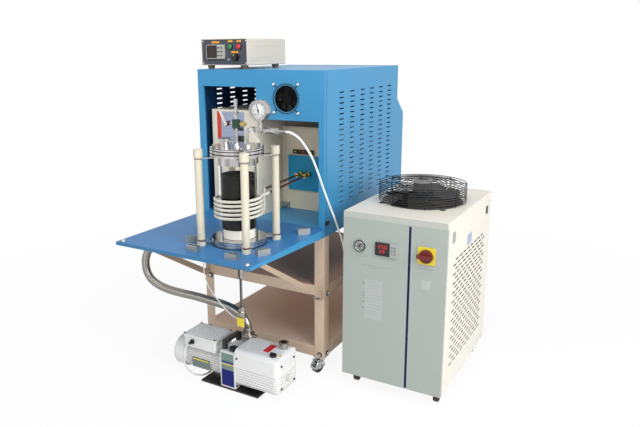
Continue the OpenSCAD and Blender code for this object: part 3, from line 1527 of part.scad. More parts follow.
trolley_frame();
trolley_shelves();
caster_plates();
cabinet_front();
cabinet_shell();
work_table();
cover_catches();
generator_modules();
fan_frame();
fan_rotor();
work_coil();
copper_leads();
control_case();
control_panel();
start_button();
stop_button();
power_knob();
chamber_flanges();
chamber_seals();
quartz_tube();
crucible();
pedestal();
clamp_rods();
lid_fittings();
lid_valve_lever();
gas_valve_lever();
gauge_case();
gauge_needle();
pump_motor();
pump_block();
pump_base();
oil_case();
pump_fittings();
ballast_knob();
vacuum_hose();
gas_tube();
gas_tube_coil();
sensor_cable();
pump_cord();
pump_cord_coil();
pump_plug();
chiller_shell();
chiller_front();
fan_cage();
chiller_fan();
chiller_instruments();
chiller_needle();
switch_knob();
cart_fork_left();
cart_fork_right();
cart_wheel_front_left();
cart_wheel_front_right();
cart_wheel_rear_left();
cart_wheel_rear_right();
chiller_fork_left();
chiller_fork_right();
chiller_wheel_front_left();
chiller_wheel_front_right();
chiller_wheel_rear_left();
chiller_wheel_rear_right();
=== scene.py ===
import math

import bpy
from mathutils import Matrix, Vector


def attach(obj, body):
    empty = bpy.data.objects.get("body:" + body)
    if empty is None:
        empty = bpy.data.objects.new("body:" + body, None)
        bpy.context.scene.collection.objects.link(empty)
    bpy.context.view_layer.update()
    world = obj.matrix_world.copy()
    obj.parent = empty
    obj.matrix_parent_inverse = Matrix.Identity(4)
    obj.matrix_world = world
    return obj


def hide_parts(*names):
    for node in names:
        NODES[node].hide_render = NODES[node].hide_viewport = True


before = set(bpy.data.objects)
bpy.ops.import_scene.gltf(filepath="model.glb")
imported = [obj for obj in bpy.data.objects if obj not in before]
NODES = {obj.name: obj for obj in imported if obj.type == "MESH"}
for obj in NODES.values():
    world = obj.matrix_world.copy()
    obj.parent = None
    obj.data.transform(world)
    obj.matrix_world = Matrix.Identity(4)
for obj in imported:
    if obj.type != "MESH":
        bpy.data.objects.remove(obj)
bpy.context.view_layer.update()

SYSTEM = "system"

# Places of the solids, in millimetres from the trolley's left front corner: x right, y back, z up

MID_X, MID_Y = 645.0, 192.0
CAB_W, CAB_TOP, SKIN = 700, 1445, 1
BAY_FRONT, BAY_BACK = 16, 862
TABLE_TOP, TABLE_BACK, TABLE_EDGE = 731, 12, -605
SHELF_GAP = 300
FAN_X, FAN_Z, FAN_SCREW = 503, 1317, 64
SCALE_Y, SIDE_X, MODULE_Y = 50, 312, 280
BOARD_X, BOARD_Y, BOARD_LOW, BOARD_HIGH, METER_HIGH = (340, 530), 273, 826, 1018, 1090
UNION_X, UNION_Y, UNION_Z = (428.2, 472.2), 206, 920
AXIS_X, AXIS_Y = 475, -352
BOX_FEET, BOX_W, BOX_Y = 1464.5, 275, 38.9
SHOW_LOW, SHOW_HIGH = 1497, 1557
PUMP_Y, BLOCK_TOP = -350, 191.5
MOTOR_X, MOTOR_Y, MOTOR_Z = 110, -264, 100
ROD_X, ROD_LOW = (395, 480), 428
CHILL_X0, CHILL_X1, CHILL_Y = 823, 1290, -50
DOOR_LOW, DOOR_HIGH = 74, 812
DIAL_X, DIAL_Z, SWITCH_X, SWITCH_Z = 903, 697, (1045, 1082), (666, 728)

FRONT, LEFT, RIGHT, UP = (0, -1, 0), (-1, 0, 0), (1, 0, 0), (0, 0, 1)
ANY = (None, None)


def at(x, y, z):
    """A point given in trolley millimetres, in the row frame."""
    return Vector(((x - MID_X) / 1000, (y - MID_Y) / 1000, z / 1000))


def put(name, data):
    thing = bpy.data.objects.new(name, data)
    bpy.context.scene.collection.objects.link(thing)
    return thing


# Camera

FOCAL_PX, CENTRE_X, CENTRE_Y = 636.0, 291.0, 200.5
YAW, PITCH, ROLL = 0.536766, 0.233771, -0.009429
EYE = (2006.0, -2489.8, 1536.0)
WIDTH, HEIGHT, SENSOR = 640.0, 427.0, 36.0


def make_camera():
    data = bpy.data.cameras.new("camera")
    camera = put("camera", data)
    level = math.cos(PITCH)
    forward = Vector((-math.sin(YAW) * level, math.cos(YAW) * level, -math.sin(PITCH)))
    right = Vector((math.cos(YAW), math.sin(YAW), 0))
    up = right.cross(forward)
    side = math.cos(ROLL) * right + math.sin(ROLL) * up
    top = -math.sin(ROLL) * right + math.cos(ROLL) * up
    turn = Matrix((side, top, -forward)).transposed().to_4x4()
    camera.matrix_world = Matrix.Translation(at(*EYE)) @ turn
    data.sensor_width = SENSOR
    data.lens = FOCAL_PX / WIDTH * SENSOR
    data.shift_x = (WIDTH / 2 - CENTRE_X) / WIDTH
    data.shift_y = (CENTRE_Y - HEIGHT / 2) / WIDTH
    data.clip_start, data.clip_end = 0.05, 60
    bpy.context.scene.camera = camera


make_camera()


# Materials

def vary(color, spread):
    """A darker and a lighter tone of a colour."""
    return [c * (1 - spread) for c in color], [min(1, c * (1 + spread)) for c in color]


class Nodes:
    """The nodes of a material or world. Values are sockets, colours or numbers."""

    def __init__(self, owner):
        owner.use_nodes = True
        self.tree = owner.node_tree

    def node(self, kind):
        return self.tree.nodes.new("ShaderNode" + kind)

    def feed(self, socket, value):
        if hasattr(value, "is_linked"):
            self.tree.links.new(value, socket)
        elif isinstance(value, (list, tuple)):
            socket.default_value = (*value, 1)
        else:
            socket.default_value = value

    def math(self, op, a, b):
        n = self.node("Math")
        n.operation = op
        self.feed(n.inputs[0], a)
        self.feed(n.inputs[1], b)
        return n.outputs[0]

    def span(self, value, low, high, start=0.0, end=1.0):
        """Goes from low to high while value goes from start to end."""
        n = self.node("MapRange")
        for name, number in (("Value", value), ("From Min", start), ("From Max", end),
                             ("To Min", low), ("To Max", high)):
            self.feed(n.inputs[name], number)
        return n.outputs[0]


class Paint(Nodes):
    """A node material whose colour and roughness vary a little. Regions repaint a part of it."""

    REGION_SPREAD, COAT_ROUGH, BUMP_DEPTH = 0.04, 0.12, 0.0006

    def __init__(self, name, color, rough=0.5, metal=0.0, spread=0.05, grain=60, bump=0.05,
                 pores=350.0, stretch=(1, 1, 1), rough_spread=0.06, coat=0.0, glass=0.0,
                 ior=1.45, sheen=0.0, shine=0.5, glow=None):
        self.mat = bpy.data.materials.new(name)
        super().__init__(self.mat)
        self.sockets = self.tree.nodes["Principled BSDF"].inputs
        coords = self.node("TexCoord").outputs["Object"]
        separate = self.node("SeparateXYZ")
        self.feed(separate.inputs[0], coords)
        self.place = separate.outputs
        scaled = self.node("Mapping")
        scaled.inputs["Scale"].default_value = stretch
        self.feed(scaled.inputs["Vector"], coords)
        self.coords = scaled.outputs[0]
        noise = self.noise(grain, 4)
        self.color = self.mix(noise, *vary(color, spread))
        self.rough = self.span(noise, max(0.02, rough - rough_spread), min(1, rough + rough_spread))
        self.metal = metal
        for socket, value in (("Coat Weight", coat), ("Coat Roughness", self.COAT_ROUGH),
                              ("Transmission Weight", glass), ("IOR", ior),
                              ("Sheen Weight", sheen), ("Specular IOR Level", shine)):
            self.sockets[socket].default_value = value
        if glow:
            self.feed(self.sockets["Emission Color"], color)
            self.sockets["Emission Strength"].default_value = glow
        self.height = self.noise(pores, 2)
        self.bump_strength = bump
        self.done = False

    def noise(self, scale, detail):
        n = self.node("TexNoise")
        n.inputs["Scale"].default_value = scale
        n.inputs["Detail"].default_value = detail
        self.feed(n.inputs["Vector"], self.coords)
        return n.outputs["Fac"]

    def mix(self, factor, a, b):
        n = self.node("Mix")
        n.data_type = "RGBA"
        for k, value in ((0, factor), (6, a), (7, b)):
            self.feed(n.inputs[k], value)
        return n.outputs[2]

    def inside(self, x, y, z):
        """1 inside the ranges given in trolley millimetres, where None is open, else 0."""
        result = None
        for place, ends, start in zip(self.place, (x, y, z), (MID_X, MID_Y, 0.0)):
            for end, op in zip(ends, ("GREATER_THAN", "LESS_THAN")):
                if end is not None:
                    test = self.math(op, place, (end - start) / 1000)
                    result = test if result is None else self.math("MULTIPLY", result, test)
        return result

    def region(self, color, rough, metal=None, x=ANY, y=ANY, z=ANY):
        mask = self.inside(x, y, z)
        varied = self.mix(self.noise(14, 3), *vary(color, self.REGION_SPREAD))
        self.color = self.mix(mask, self.color, varied)
        self.rough = self.span(mask, self.rough, rough)
        if metal is not None:
            self.metal = self.span(mask, self.metal, metal)

    def dirt(self, low_z, high_z, color, strength):
        """Grime that fades in from high_z down to low_z, broken up by noise."""
        depth = self.span(self.place[2], 0.0, 1.0, high_z / 1000, low_z / 1000)
        patches = self.math("MULTIPLY", depth, self.noise(40, 5))
        self.color = self.mix(self.math("MULTIPLY", patches, strength), self.color, color)

    def finish(self):
        if not self.done:
            bump = self.node("Bump")
            bump.inputs["Strength"].default_value = self.bump_strength
            bump.inputs["Distance"].default_value = self.BUMP_DEPTH
            self.feed(bump.inputs["Height"], self.height)
            for socket, value in (("Base Color", self.color), ("Roughness", self.rough),
                                  ("Metallic", self.metal), ("Normal", bump.outputs[0])):
                self.feed(self.sockets[socket], value)
            self.done = True
        return self.mat


# The second blue is painted shade for the inside of the work bay.
BLUE, SHADED_BAY_BLUE = (0.04, 0.262, 0.5), (0.007, 0.05, 0.145)
BEIGE, CREAM = (0.66, 0.505, 0.375), (0.76, 0.71, 0.58)
BLACK, SOOT = (0.012, 0.012, 0.013), (0.01, 0.01, 0.011)
ENAMEL = dict(spread=0.025, grain=7, bump=0.1, pores=500, coat=0.2)
CAP = dict(spread=0.08, bump=0.03, coat=0.5)

# The work bay's inside is darker than the sides: painted shade inside the bay. The table's top and the
# table's front edge are darker than the sides too.
cabinet_blue = Paint("cabinet_blue", BLUE, 0.42, spread=0.03, grain=3, bump=0.1, pores=900, coat=0.1)
cabinet_blue.region(SHADED_BAY_BLUE, 0.5, x=(SKIN, CAB_W - SKIN), y=(BAY_FRONT, BAY_BACK),
                    z=(TABLE_TOP + 2, CAB_TOP - 1.5))
cabinet_blue.region((0.024, 0.165, 0.4), 0.5, y=(None, TABLE_BACK), z=(TABLE_TOP - 2, TABLE_TOP + 0.5))
cabinet_blue.region((0.022, 0.165, 0.345), 0.42, y=(None, TABLE_EDGE), z=(None, TABLE_TOP + 0.5))

trolley_beige = Paint("trolley_beige", BEIGE, 0.48, grain=5, bump=0.1, pores=700)
trolley_beige.dirt(60, 260, (0.3, 0.22, 0.16), 0.15)
# The frame in front of y = -2, under the work table, is a darker beige: painted shadow of the table.
trolley_beige.region((0.46, 0.345, 0.255), 0.5, y=(None, -2))
shelf_brown = Paint("shelf_brown", (0.74, 0.56, 0.43), 0.6, spread=0.1, grain=6, bump=0.1, shine=0.15)
# The shelves above SHELF_GAP are a darker brown: painted shade under the cabinet.
shelf_brown.region((0.5, 0.29, 0.21), 0.6, z=(SHELF_GAP, None))
zinc = Paint("zinc_plate", (0.48, 0.5, 0.5), 0.24, 1.0, spread=0.35, grain=40)
tyre = Paint("tyre_rubber", (0.045, 0.022, 0.018), 0.55, spread=0.2, grain=120, bump=0.1)
alloy = Paint("milled_alloy", (0.36, 0.375, 0.37), 0.45, 0.9, spread=0.12, grain=90, bump=0.12, pores=1500)

# The right module is lighter: painted light that makes up for the bay's shade. On its front are the blue
# board, its own blue brightened by painted light, and the black meter strip.
module_cream = Paint("module_cream", CREAM, 0.45, spread=0.03, grain=4, bump=0.06, pores=800)
module_cream.region((0.86, 0.76, 0.57), 0.45, x=(SIDE_X, None))
module_cream.region((0.012, 0.34, 0.6), 0.4, x=BOARD_X, y=(None, BOARD_Y), z=(BOARD_LOW, BOARD_HIGH))
module_cream.region(BLACK, 0.35, x=BOARD_X, y=(None, BOARD_Y), z=(BOARD_HIGH, METER_HIGH))

black_plastic = Paint("black_plastic", BLACK, 0.42, spread=0.15, bump=0.08)
black_wire = Paint("black_wire", SOOT, 0.38, spread=0.2, grain=90, coat=0.2)
seal_black = Paint("seal_black", (0.012, 0.012, 0.012), 0.5, spread=0.2, grain=90)

# The steel of the flanges is streaked upright in its colour: painted reflections of a room.
steel = Paint("polished_steel", (0.5, 0.49, 0.48), 0.14, 1.0, spread=0.8, grain=30, bump=0.04,
              pores=90, stretch=(1, 1, 0.06))
turned_steel = Paint("turned_steel", (0.4, 0.4, 0.4), 0.28, 1.0, spread=0.25, grain=30, bump=0.06)
lever_steel = Paint("lever_steel", (0.74, 0.73, 0.7), 0.34, 1.0, spread=0.12, grain=45, bump=0.08, pores=900)
graphite = Paint("graphite", (0.006, 0.006, 0.0055), 0.42, spread=0.3, grain=70, bump=0.22,
                 pores=500, shine=0.08)
ceramic = Paint("white_ceramic", (0.9, 0.86, 0.8), 0.55, spread=0.03, grain=18, bump=0.15, pores=260)
rod_cream = Paint("rod_cream", (0.63, 0.585, 0.465), 0.34, grain=26, bump=0.3, pores=120, coat=0.3)
sleeve = Paint("coil_sleeve", (0.66, 0.64, 0.56), 0.62, bump=0.35, pores=1400, sheen=0.2)
copper = Paint("lead_copper", (0.16, 0.035, 0.018), 0.34, 0.6, spread=0.2, grain=40, bump=0.06)
copper.region((0.62, 0.42, 0.13), 0.24, 1.0, y=(UNION_Y, None))
quartz = Paint("quartz", (0.985, 0.99, 0.985), 0.02, spread=0.01, grain=4, bump=0.02, pores=14,
               glass=1.0, rough_spread=0.01, ior=1.22)

# The lid's fittings have a dark green valve body, a brass end and a dark red end.
# Their steel is streaked upright in its colour: painted reflections.
fitting_steel = Paint("lid_steel", (0.46, 0.455, 0.44), 0.18, 1.0, spread=0.5, grain=70, bump=0.03,
                      stretch=(1, 1, 0.4))
for x, z, color, rough, metal in (((459, 489), (1220, 1258), (0.03, 0.06, 0.038), 0.3, 0.3),
                                  ((499, 524), (1228, 1252), (0.6, 0.42, 0.14), 0.24, 1.0),
                                  ((419, 443), (1228, 1252), (0.085, 0.014, 0.012), 0.3, 0.4)):
    fitting_steel.region(color, rough, metal, x=x, y=(AXIS_Y - 16, AXIS_Y + 16), z=z)

# The panel's raised parts: black bezels, a blue lamp, and a pale frame with dark screen and keys.
case_beige = Paint("case_beige", (0.68, 0.62, 0.53), 0.5, spread=0.03, grain=8, bump=0.12, pores=1400)
case_beige.region((0.2, 0.145, 0.095), 0.45, z=(None, BOX_FEET))
slate = Paint("panel_slate", (0.05, 0.06, 0.078), 0.38, spread=0.08, grain=20)
slate.region((0.015, 0.015, 0.016), 0.3, x=(150, 250), y=(None, BOX_Y), z=(1525, 1575))
slate.region((0.34, 0.5, 0.72), 0.15, x=(155, 172), y=(None, BOX_Y), z=(1482, 1498))
slate.region((0.42, 0.41, 0.35), 0.45, x=(31, 143), y=(None, BOX_Y), z=(SHOW_LOW - 4, SHOW_HIGH + 4))
slate.region((0.024, 0.016, 0.016), 0.2, x=(35, 97), y=(None, BOX_Y), z=(SHOW_LOW, SHOW_HIGH))
slate.region((0.03, 0.06, 0.15), 0.4, x=(99, 140), y=(None, BOX_Y - 5), z=(SHOW_LOW, SHOW_HIGH))
green_cap = Paint("green_cap", (0.02, 0.2, 0.06), 0.2, **CAP)
red_cap = Paint("red_cap", (0.62, 0.015, 0.03), 0.2, **CAP)

pump_white = Paint("pump_white", (0.75, 0.75, 0.74), 0.34, **ENAMEL)
pump_white.dirt(10, 90, (0.35, 0.33, 0.3), 0.4)
block_white = Paint("block_white", (0.76, 0.76, 0.75), 0.34, **ENAMEL)
block_white.region(BLACK, 0.36, z=(BLOCK_TOP, None))

# The pump's fittings: oil cap, oil window, link rod, the valve under it, and the mains gland.
pump_steel = Paint("fitting_steel", (0.4, 0.385, 0.36), 0.24, 1.0, spread=0.35, grain=45)
pump_steel.region(SOOT, 0.35, 0.0, x=(600, 640), y=(-340, -290), z=(204, None))
pump_steel.region((0.6, 0.58, 0.5), 0.12, 0.0, x=(650, 700), z=(None, 140))
pump_steel.region((0.055, 0.07, 0.05), 0.34, 0.2, x=ROD_X, z=(ROD_LOW, 640))
pump_steel.region((0.26, 0.26, 0.16), 0.3, 0.8, x=ROD_X, z=(ROD_LOW - 40, ROD_LOW))
pump_steel.region(SOOT, 0.45, 0.0, x=(150, 200), y=(None, -338), z=(160, 215))
hose_steel = Paint("hose_steel", (0.27, 0.26, 0.232), 0.23, 1.0, spread=0.15, bump=0.06)
white_tube = Paint("white_tube", (0.86, 0.87, 0.88), 0.28, spread=0.02, grain=30, bump=0.03, coat=0.2)
cord_grey = Paint("cord_grey", (0.7, 0.7, 0.68), 0.5, spread=0.04, bump=0.06)

# The chiller's top has a darker front lip, and the shell behind both grilles is near black: painted shade
# inside the grilles.
chiller_cream = Paint("chiller_cream", (0.75, 0.71, 0.63), 0.44, spread=0.025, grain=4, bump=0.1, pores=900)
chiller_cream.region((0.43, 0.45, 0.415), 0.42, y=(CHILL_Y - 1, CHILL_Y + 2.1), z=(DOOR_HIGH + 6, None))
for x in (CHILL_X0 + 5, CHILL_X1 - 36):
    chiller_cream.region((0.02, 0.022, 0.022), 0.6, x=(x, x + 31), z=(DOOR_LOW, DOOR_HIGH))
chiller_green = Paint("chiller_green", (0.345, 0.382, 0.352), 0.42, spread=0.02, grain=4, bump=0.1,
                      pores=900)

# The instruments: yellow switch plate, grey switch body with a darker front, and the dial's ground.
instrument = Paint("instrument_black", (0.015, 0.016, 0.017), 0.35, spread=0.15)
instrument.region((0.72, 0.55, 0.02), 0.38, x=(1160, 1250), y=(CHILL_Y - 6, None))
instrument.region((0.36, 0.38, 0.36), 0.45, x=SWITCH_X, z=SWITCH_Z)
instrument.region((0.2, 0.21, 0.21), 0.4, x=SWITCH_X, y=(None, CHILL_Y - 7.4), z=SWITCH_Z)
instrument.region((0.22, 0.23, 0.23), 0.35, x=(DIAL_X - 23, DIAL_X + 23), y=(CHILL_Y - 5.5, None),
                  z=(DIAL_Z - 25, DIAL_Z + 25))
switch_red = Paint("switch_red", (0.13, 0.013, 0.012), 0.34, spread=0.08, grain=50)

CAD_LOOKS = {
    cabinet_blue: "cabinet_front cabinet_shell work_table",
    trolley_beige: "trolley_frame",
    shelf_brown: "trolley_shelves",
    module_cream: "generator_modules",
    steel: "chamber_flanges gauge_case",
    fitting_steel: "lid_fittings",
    lever_steel: "lid_valve_lever gas_valve_lever",
    zinc: "caster_plates cart_fork_left cart_fork_right chiller_fork_left chiller_fork_right",
    alloy: "cover_catches",
    black_plastic: "fan_frame fan_rotor power_knob gauge_needle chiller_needle ballast_knob",
    black_wire: "fan_cage chiller_fan pump_base",
    seal_black: "chamber_seals",
    graphite: "crucible",
    ceramic: "pedestal",
    rod_cream: "clamp_rods",
    sleeve: "work_coil",
    copper: "copper_leads",
    quartz: "quartz_tube",
    case_beige: "control_case",
    slate: "control_panel",
    green_cap: "start_button",
    red_cap: "stop_button",
    pump_white: "pump_motor oil_case",
    block_white: "pump_block",
    pump_steel: "pump_fittings",
    cord_grey: "pump_plug",
    chiller_cream: "chiller_shell",
    chiller_green: "chiller_front",
    instrument: "chiller_instruments",
    switch_red: "switch_knob",
    tyre: " ".join(n for n in NODES if "_wheel_" in n),
}

for look, names in CAD_LOOKS.items():
    for name in names.split():
        NODES[name].data.materials.clear()
        NODES[name].data.materials.append(look.finish())


# Mesh pieces

SEGMENTS = {"0": "abcdef", "1": "bc", "2": "abged", "3": "abgcd", "5": "afgcd", "8": "abcdefg"}


def around(count):
    """Each index with the next one round a closed loop."""
    return [(k, (k + 1) % count) for k in range(count)]


def strips(rings, sides):
    """Faces of a body whose points lie in rings, with both its ends."""
    faces = [[i * sides + k, i * sides + n, (i + 1) * sides + n, (i + 1) * sides + k]
             for i in range(rings - 1) for k, n in around(sides)]
    return faces + [list(range(sides))[::-1], [(rings - 1) * sides + k for k in range(sides)]]


def across(axis):
    """A direction and two more that are square to it."""
    axis = Vector(axis).normalized()
    side = axis.orthogonal().normalized()
    return axis, side, axis.cross(side)


def circle(side, other, count, turn=0.0):
    """Directions round a full turn from side over other."""
    angles = [turn + 2 * math.pi * k / count for k in range(count)]
    return [math.cos(a) * side + math.sin(a) * other for a in angles]


class Shape:
    """Collects forms into one mesh. Lengths are in trolley millimetres."""

    def __init__(self):
        self.verts, self.faces, self.smooth = [], [], []

    def add(self, verts, faces, smooth=True):
        start = len(self.verts)
        self.verts += [Vector(v) for v in verts]
        self.faces += [[start + i for i in f] for f in faces]
        self.smooth += [smooth] * len(faces)
        return self

    def box(self, low, high, r=0.6):
        """A box with chamfered edges. Each corner has three points, one on each of its faces."""
        low, high = Vector(low), Vector(high)
        r = min(r, *[(h - l) * 0.45 for l, h in zip(low, high)])
        corners = [(x, y, z) for x in (0, 1) for y in (0, 1) for z in (0, 1)]
        index = {(c, k): 3 * n + k for n, c in enumerate(corners) for k in range(3)}
        verts = [[(high[k] - r * (k != axis)) if c[k] else (low[k] + r * (k != axis)) for k in range(3)]
                 for c in corners for axis in range(3)]
        faces, others = [], ((1, 2), (0, 2), (0, 1))
        for axis, (a, b) in enumerate(others):
            for side in (0, 1):
                ring = []
                for u, w in ((0, 0), (1, 0), (1, 1), (0, 1)):
                    c = [side] * 3
                    c[a], c[b] = u, w
                    ring.append(index[tuple(c), axis])
                faces.append(ring if (side == 1) == (axis != 1) else ring[::-1])
        for axis, (a, b) in enumerate(others):
            for start in corners:
                if not start[axis]:
                    end = tuple(1 if k == axis else start[k] for k in range(3))
                    faces.append([index[start, a], index[end, a], index[end, b], index[start, b]])
        faces += [[index[corner, k] for k in range(3)] for corner in corners]
        return self.add(verts, faces, smooth=False)

    def mark(self, x0, x1, z0, z1, y, thick, r=0.1):
        """A thin bar on a front plane at y."""
        return self.box((x0, y - thick, z0), (x1, y, z1), r)

    def digits(self, text, corner, w, h, thick):
        """Seven-segment digits on a front plane. corner is the lower left of the first digit."""
        x0, y, z0 = corner
        t = w * 0.2
        for k, figure in enumerate(text):
            x = x0 + k * w * 1.45
            left, right, middle, top = x + t, x + w - t, z0 + h / 2, z0 + h
            bars = {
                "a": (left, right, top - t, top),
                "b": (right, x + w, middle + t / 2, top - t),
                "c": (right, x + w, z0 + t, middle - t / 2),
                "d": (left, right, z0, z0 + t),
                "e": (x, left, z0 + t, middle - t / 2),
                "f": (x, left, middle + t / 2, top - t),
                "g": (left, right, middle - t / 2, middle + t / 2),
            }
            for bar in SEGMENTS[figure]:
                self.mark(*bars[bar], y, thick)
        return self

    def lathe(self, centre, axis, profile, sides, turn=0.0):
        """A profile of (radius, height) pairs turned about an axis through centre."""
        centre, (axis, side, other) = Vector(centre), across(axis)
        spokes = circle(side, other, sides, turn)
        verts = [centre + axis * h + r * spoke for r, h in profile for spoke in spokes]
        return self.add(verts, strips(len(profile), sides))

    def dome(self, centre, axis, r, h, sides=20):
        profile = [(r * math.cos(t), h * (0.3 + 0.7 * math.sin(t))) for t in (0, 0.5, 0.9, 1.25)]
        return self.lathe(centre, axis, [(r, 0), *profile, (r * 0.12, h)], sides)

    def socket(self, centre, axis, r, h):
        profile = [(r, 0), (r, h * 0.85), (r * 0.88, h), (r * 0.5, h), (r * 0.5, h * 0.45)]
        return self.lathe(centre, axis, profile, 18)

    def hexagon(self, centre, axis, r, h):
        return self.lathe(centre, axis, [(r, 0), (r, h * 0.85), (r * 0.86, h)], 6, 0.3)

    def ring(self, centre, axis, r, thick, sides, wire):
        """A round wire bent to a ring, with wire points round its section."""
        centre, (axis, side, other) = Vector(centre), across(axis)
        verts = []
        for out in circle(side, other, sides):
            verts += [centre + out * r + thick * spoke for spoke in circle(out, axis, wire)]
        faces = [[k * wire + j, n * wire + j, n * wire + m, k * wire + m]
                 for k, n in around(sides) for j, m in around(wire)]
        return self.add(verts, faces)

    def tube(self, points, radius, sides):
        """A tube along points. radius is one number, or one per point."""
        points = [Vector(p) for p in points]
        last = len(points) - 1
        side, verts = None, []
        for i, p in enumerate(points):
            t = (points[min(i + 1, last)] - points[max(i - 1, 0)]).normalized()
            if side is None:
                side = Vector((0, 0, 1)) if abs(t.z) < 0.8 else Vector((1, 0, 0))
            side = (side - side.dot(t) * t).normalized()
            r = radius[i] if isinstance(radius, list) else radius
            verts += [p + r * spoke for spoke in circle(side, t.cross(side), sides)]
        return self.add(verts, strips(last + 1, sides))

    def louvre(self, x, out, y, length, z):
        """A pressed hood over the upper half of a slot in a side wall at x. z is the slot's top."""
        blade = [(0.2, 1.6), (2.4, -1.0), (1.9, -1.5), (0.2, 0.7)]
        cheek = [(0.2, 1.6), (2.4, -1.0), (0.2, -3.0)]
        start, end, sheet = y - 1, y + length + 1, 0.6
        for section, low, high in ((blade, start, end), (cheek, start, start + sheet),
                                   (cheek, end - sheet, end)):
            verts = [(x + out * a, side, z + h) for side in (low, high) for a, h in section]
            faces = strips(2, len(section))
            self.add(verts, [f[::-1] for f in faces] if out > 0 else faces, smooth=False)

    def hood(self, centre, way, r, half):
        """A rounded cover over the upper part of a wheel. way points forward, square to the axle."""
        low, high, steps, hub = -6, 186, 20, 14
        way, up = Vector(way).normalized(), Vector(UP)
        axle = up.cross(way)
        outer = [(hub, -half), (r - 4, -half), (r - 1.2, 1.2 - half), (r, 4 - half)]
        inner = [(hub, half - 1), (r - 4.4, half - 1), (r - 1.2, half - 4.4)]
        section = outer + [(a, -b) for a, b in outer[::-1]] + inner + [(a, -b) for a, b in inner[::-1]]
        verts = []
        for k in range(steps + 1):
            t = math.radians(low + (high - low) * k / steps)
            spoke = math.cos(t) * way + math.sin(t) * up
            verts += [Vector(centre) + spoke * a + axle * b for a, b in section]
        return self.add(verts, strips(steps + 1, len(section)))

    def make(self, name, paint, body=SYSTEM, slot=None):
        mesh = bpy.data.meshes.new(name)
        mesh.from_pydata([at(*v) for v in self.verts], [], self.faces)
        mesh.polygons.foreach_set("use_smooth", self.smooth)
        mesh.update()
        mesh.materials.append(paint.finish())
        piece = put(name, mesh)
        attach(piece, body)
        return piece


def smooth_path(p, steps):
    """The same curve through the points of a route as the solids have."""
    p = [Vector(q) for q in p]
    last = len(p) - 1
    out = []
    for i in range(last):
        a, b, c, d = p[max(i - 1, 0)], p[i], p[i + 1], p[min(i + 2, last)]
        for k in range(steps):
            t = k / steps
            out.append(0.5 * (2 * b + (c - a) * t + (2 * a - 5 * b + 4 * c - d) * t * t
                              + (3 * b - a - 3 * c + d) * t * t * t))
    return out + [p[last]]


def evenly(points, step):
    """Points a fixed step apart along a path, with its end."""
    out, left = [points[0]], step
    for a, b in zip(points, points[1:]):
        length = (b - a).length
        while left <= length and length > 0:
            a = a + (b - a) * (left / length)
            length = (b - a).length
            out.append(a)
            left = step
        left -= length
    return out + [points[-1]]


def coil_turns(centre, spots, start, way, steps=24, ease=5):
    """Turns of a coil, one for each (radius, height) spot, from an angle in degrees, way +1 or -1."""
    points = []
    for n, (r, z) in enumerate(spots):
        for k in range(steps):
            if n and k < ease:
                w = 0.5 - 0.5 * math.cos(math.pi * k / ease)
                rr, zz = spots[n - 1][0] * (1 - w) + r * w, spots[n - 1][1] * (1 - w) + z * w
            else:
                rr, zz = r, z
            a = math.radians(start + way * 360 * (n + k / steps))
            points.append(Vector((centre[0] + rr * math.cos(a), centre[1] + rr * math.sin(a), zz)))
    return points


# Hoses, tube and cords

HOSE = [
    (369, -200, 307), (347, -200, 322), (318, -201, 334), (280, -203, 343), (235, -205, 349),
    (170, -208, 354), (95, -212, 359), (20, -218, 362), (-55, -224, 368), (-120, -228, 382),
    (-172, -230, 410), (-200, -228, 455), (-204, -222, 510), (-188, -205, 560), (-150, -170, 600),
    (-100, -130, 622), (-40, -95, 632), (25, -65, 636), (75, -25, 638), (102, 30, 644), (110, 76, 664),
    (110, 90, 690),
]
CABLE = [
    (268, -352, 729), (269, -352, 690), (270, -352, 640), (272, -352, 590), (276, -352, 545),
    (288, -352, 508), (308, -352, 478), (334, -352, 450), (364, -352, 422), (394, -352, 398),
    (420, -352, 382), (442, -352, 374), (460, -352, 372),
]
TUBE = [
    (714, -352, 1219), (724, -351.8, 1218.7), (734, -348.5, 1215.8), (743, -340.5, 1209.5),
    (751, -327, 1199), (759, -307, 1179), (766, -285, 1152), (771.5, -262, 1123), (774, -240, 1094),
    (776, -198, 1030), (774, -150, 959), (772, -104, 895), (768, -60, 841), (764, -14, 784),
    (758, 30, 729), (757, 64, 680), (757, 94, 612), (757, 112, 530), (757, 124, 440), (757, 132, 350),
    (757, 142, 260), (757, 160, 172), (757, 190, 98), (757, 232, 42), (758, 286, 12), (760, 350, 5),
    (764, 430, 5), (770, 510, 5), (780, 590, 5), (796, 660, 5), (820, 712, 5), (852, 742, 5),
    (884, 751, 5),
]
CORD = [
    (176, -370.2, 190), (176, -378, 189.5), (176.3, -386, 187.4), (176.8, -393.5, 183.2),
    (177.2, -399.5, 177), (177.6, -403.5, 169.2), (177.6, -405.2, 160.5), (177.2, -405.4, 151),
    (175.8, -403.2, 132), (173.3, -399, 110), (172, -392, 86), (176, -380, 62), (186, -364, 40),
    (197, -342, 22), (205, -314, 11), (209, -284, 6), (209, -254, 5), (202, -222, 5), (184, -199, 5),
    (164, -190, 5),
]
HOSE_R, CABLE_R, TUBE_R, CORD_R = 21.0, 2.5, 4.5, 4.0
TUBE_COIL, CORD_COIL = (918, 806), (150, -140)


def lay(name, path, radii, sides, paint, slot, solids):
    """A hose, tube or cord in place of its solids. radii is one number, or one per point."""
    piece = Shape().tube(path, radii, sides).make(name, paint, slot=slot)
    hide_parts(*solids)


def make_hose():
    pitch, rings, deep = 6.0, 4, 1.0
    path = evenly(smooth_path(HOSE, 12), pitch / rings)
    waves = [0.5 - 0.5 * math.cos(2 * math.pi * i / rings) for i in range(len(path))]
    lay("hose_bellows", path, [HOSE_R - deep * w for w in waves], 24, hose_steel, "hose_steel",
        ["vacuum_hose"])


def make_cable():
    path = evenly(smooth_path(CABLE, 8), 6)
    lay("sensor_lead", path, CABLE_R, 10, white_tube, "white_tube", ["sensor_cable"])


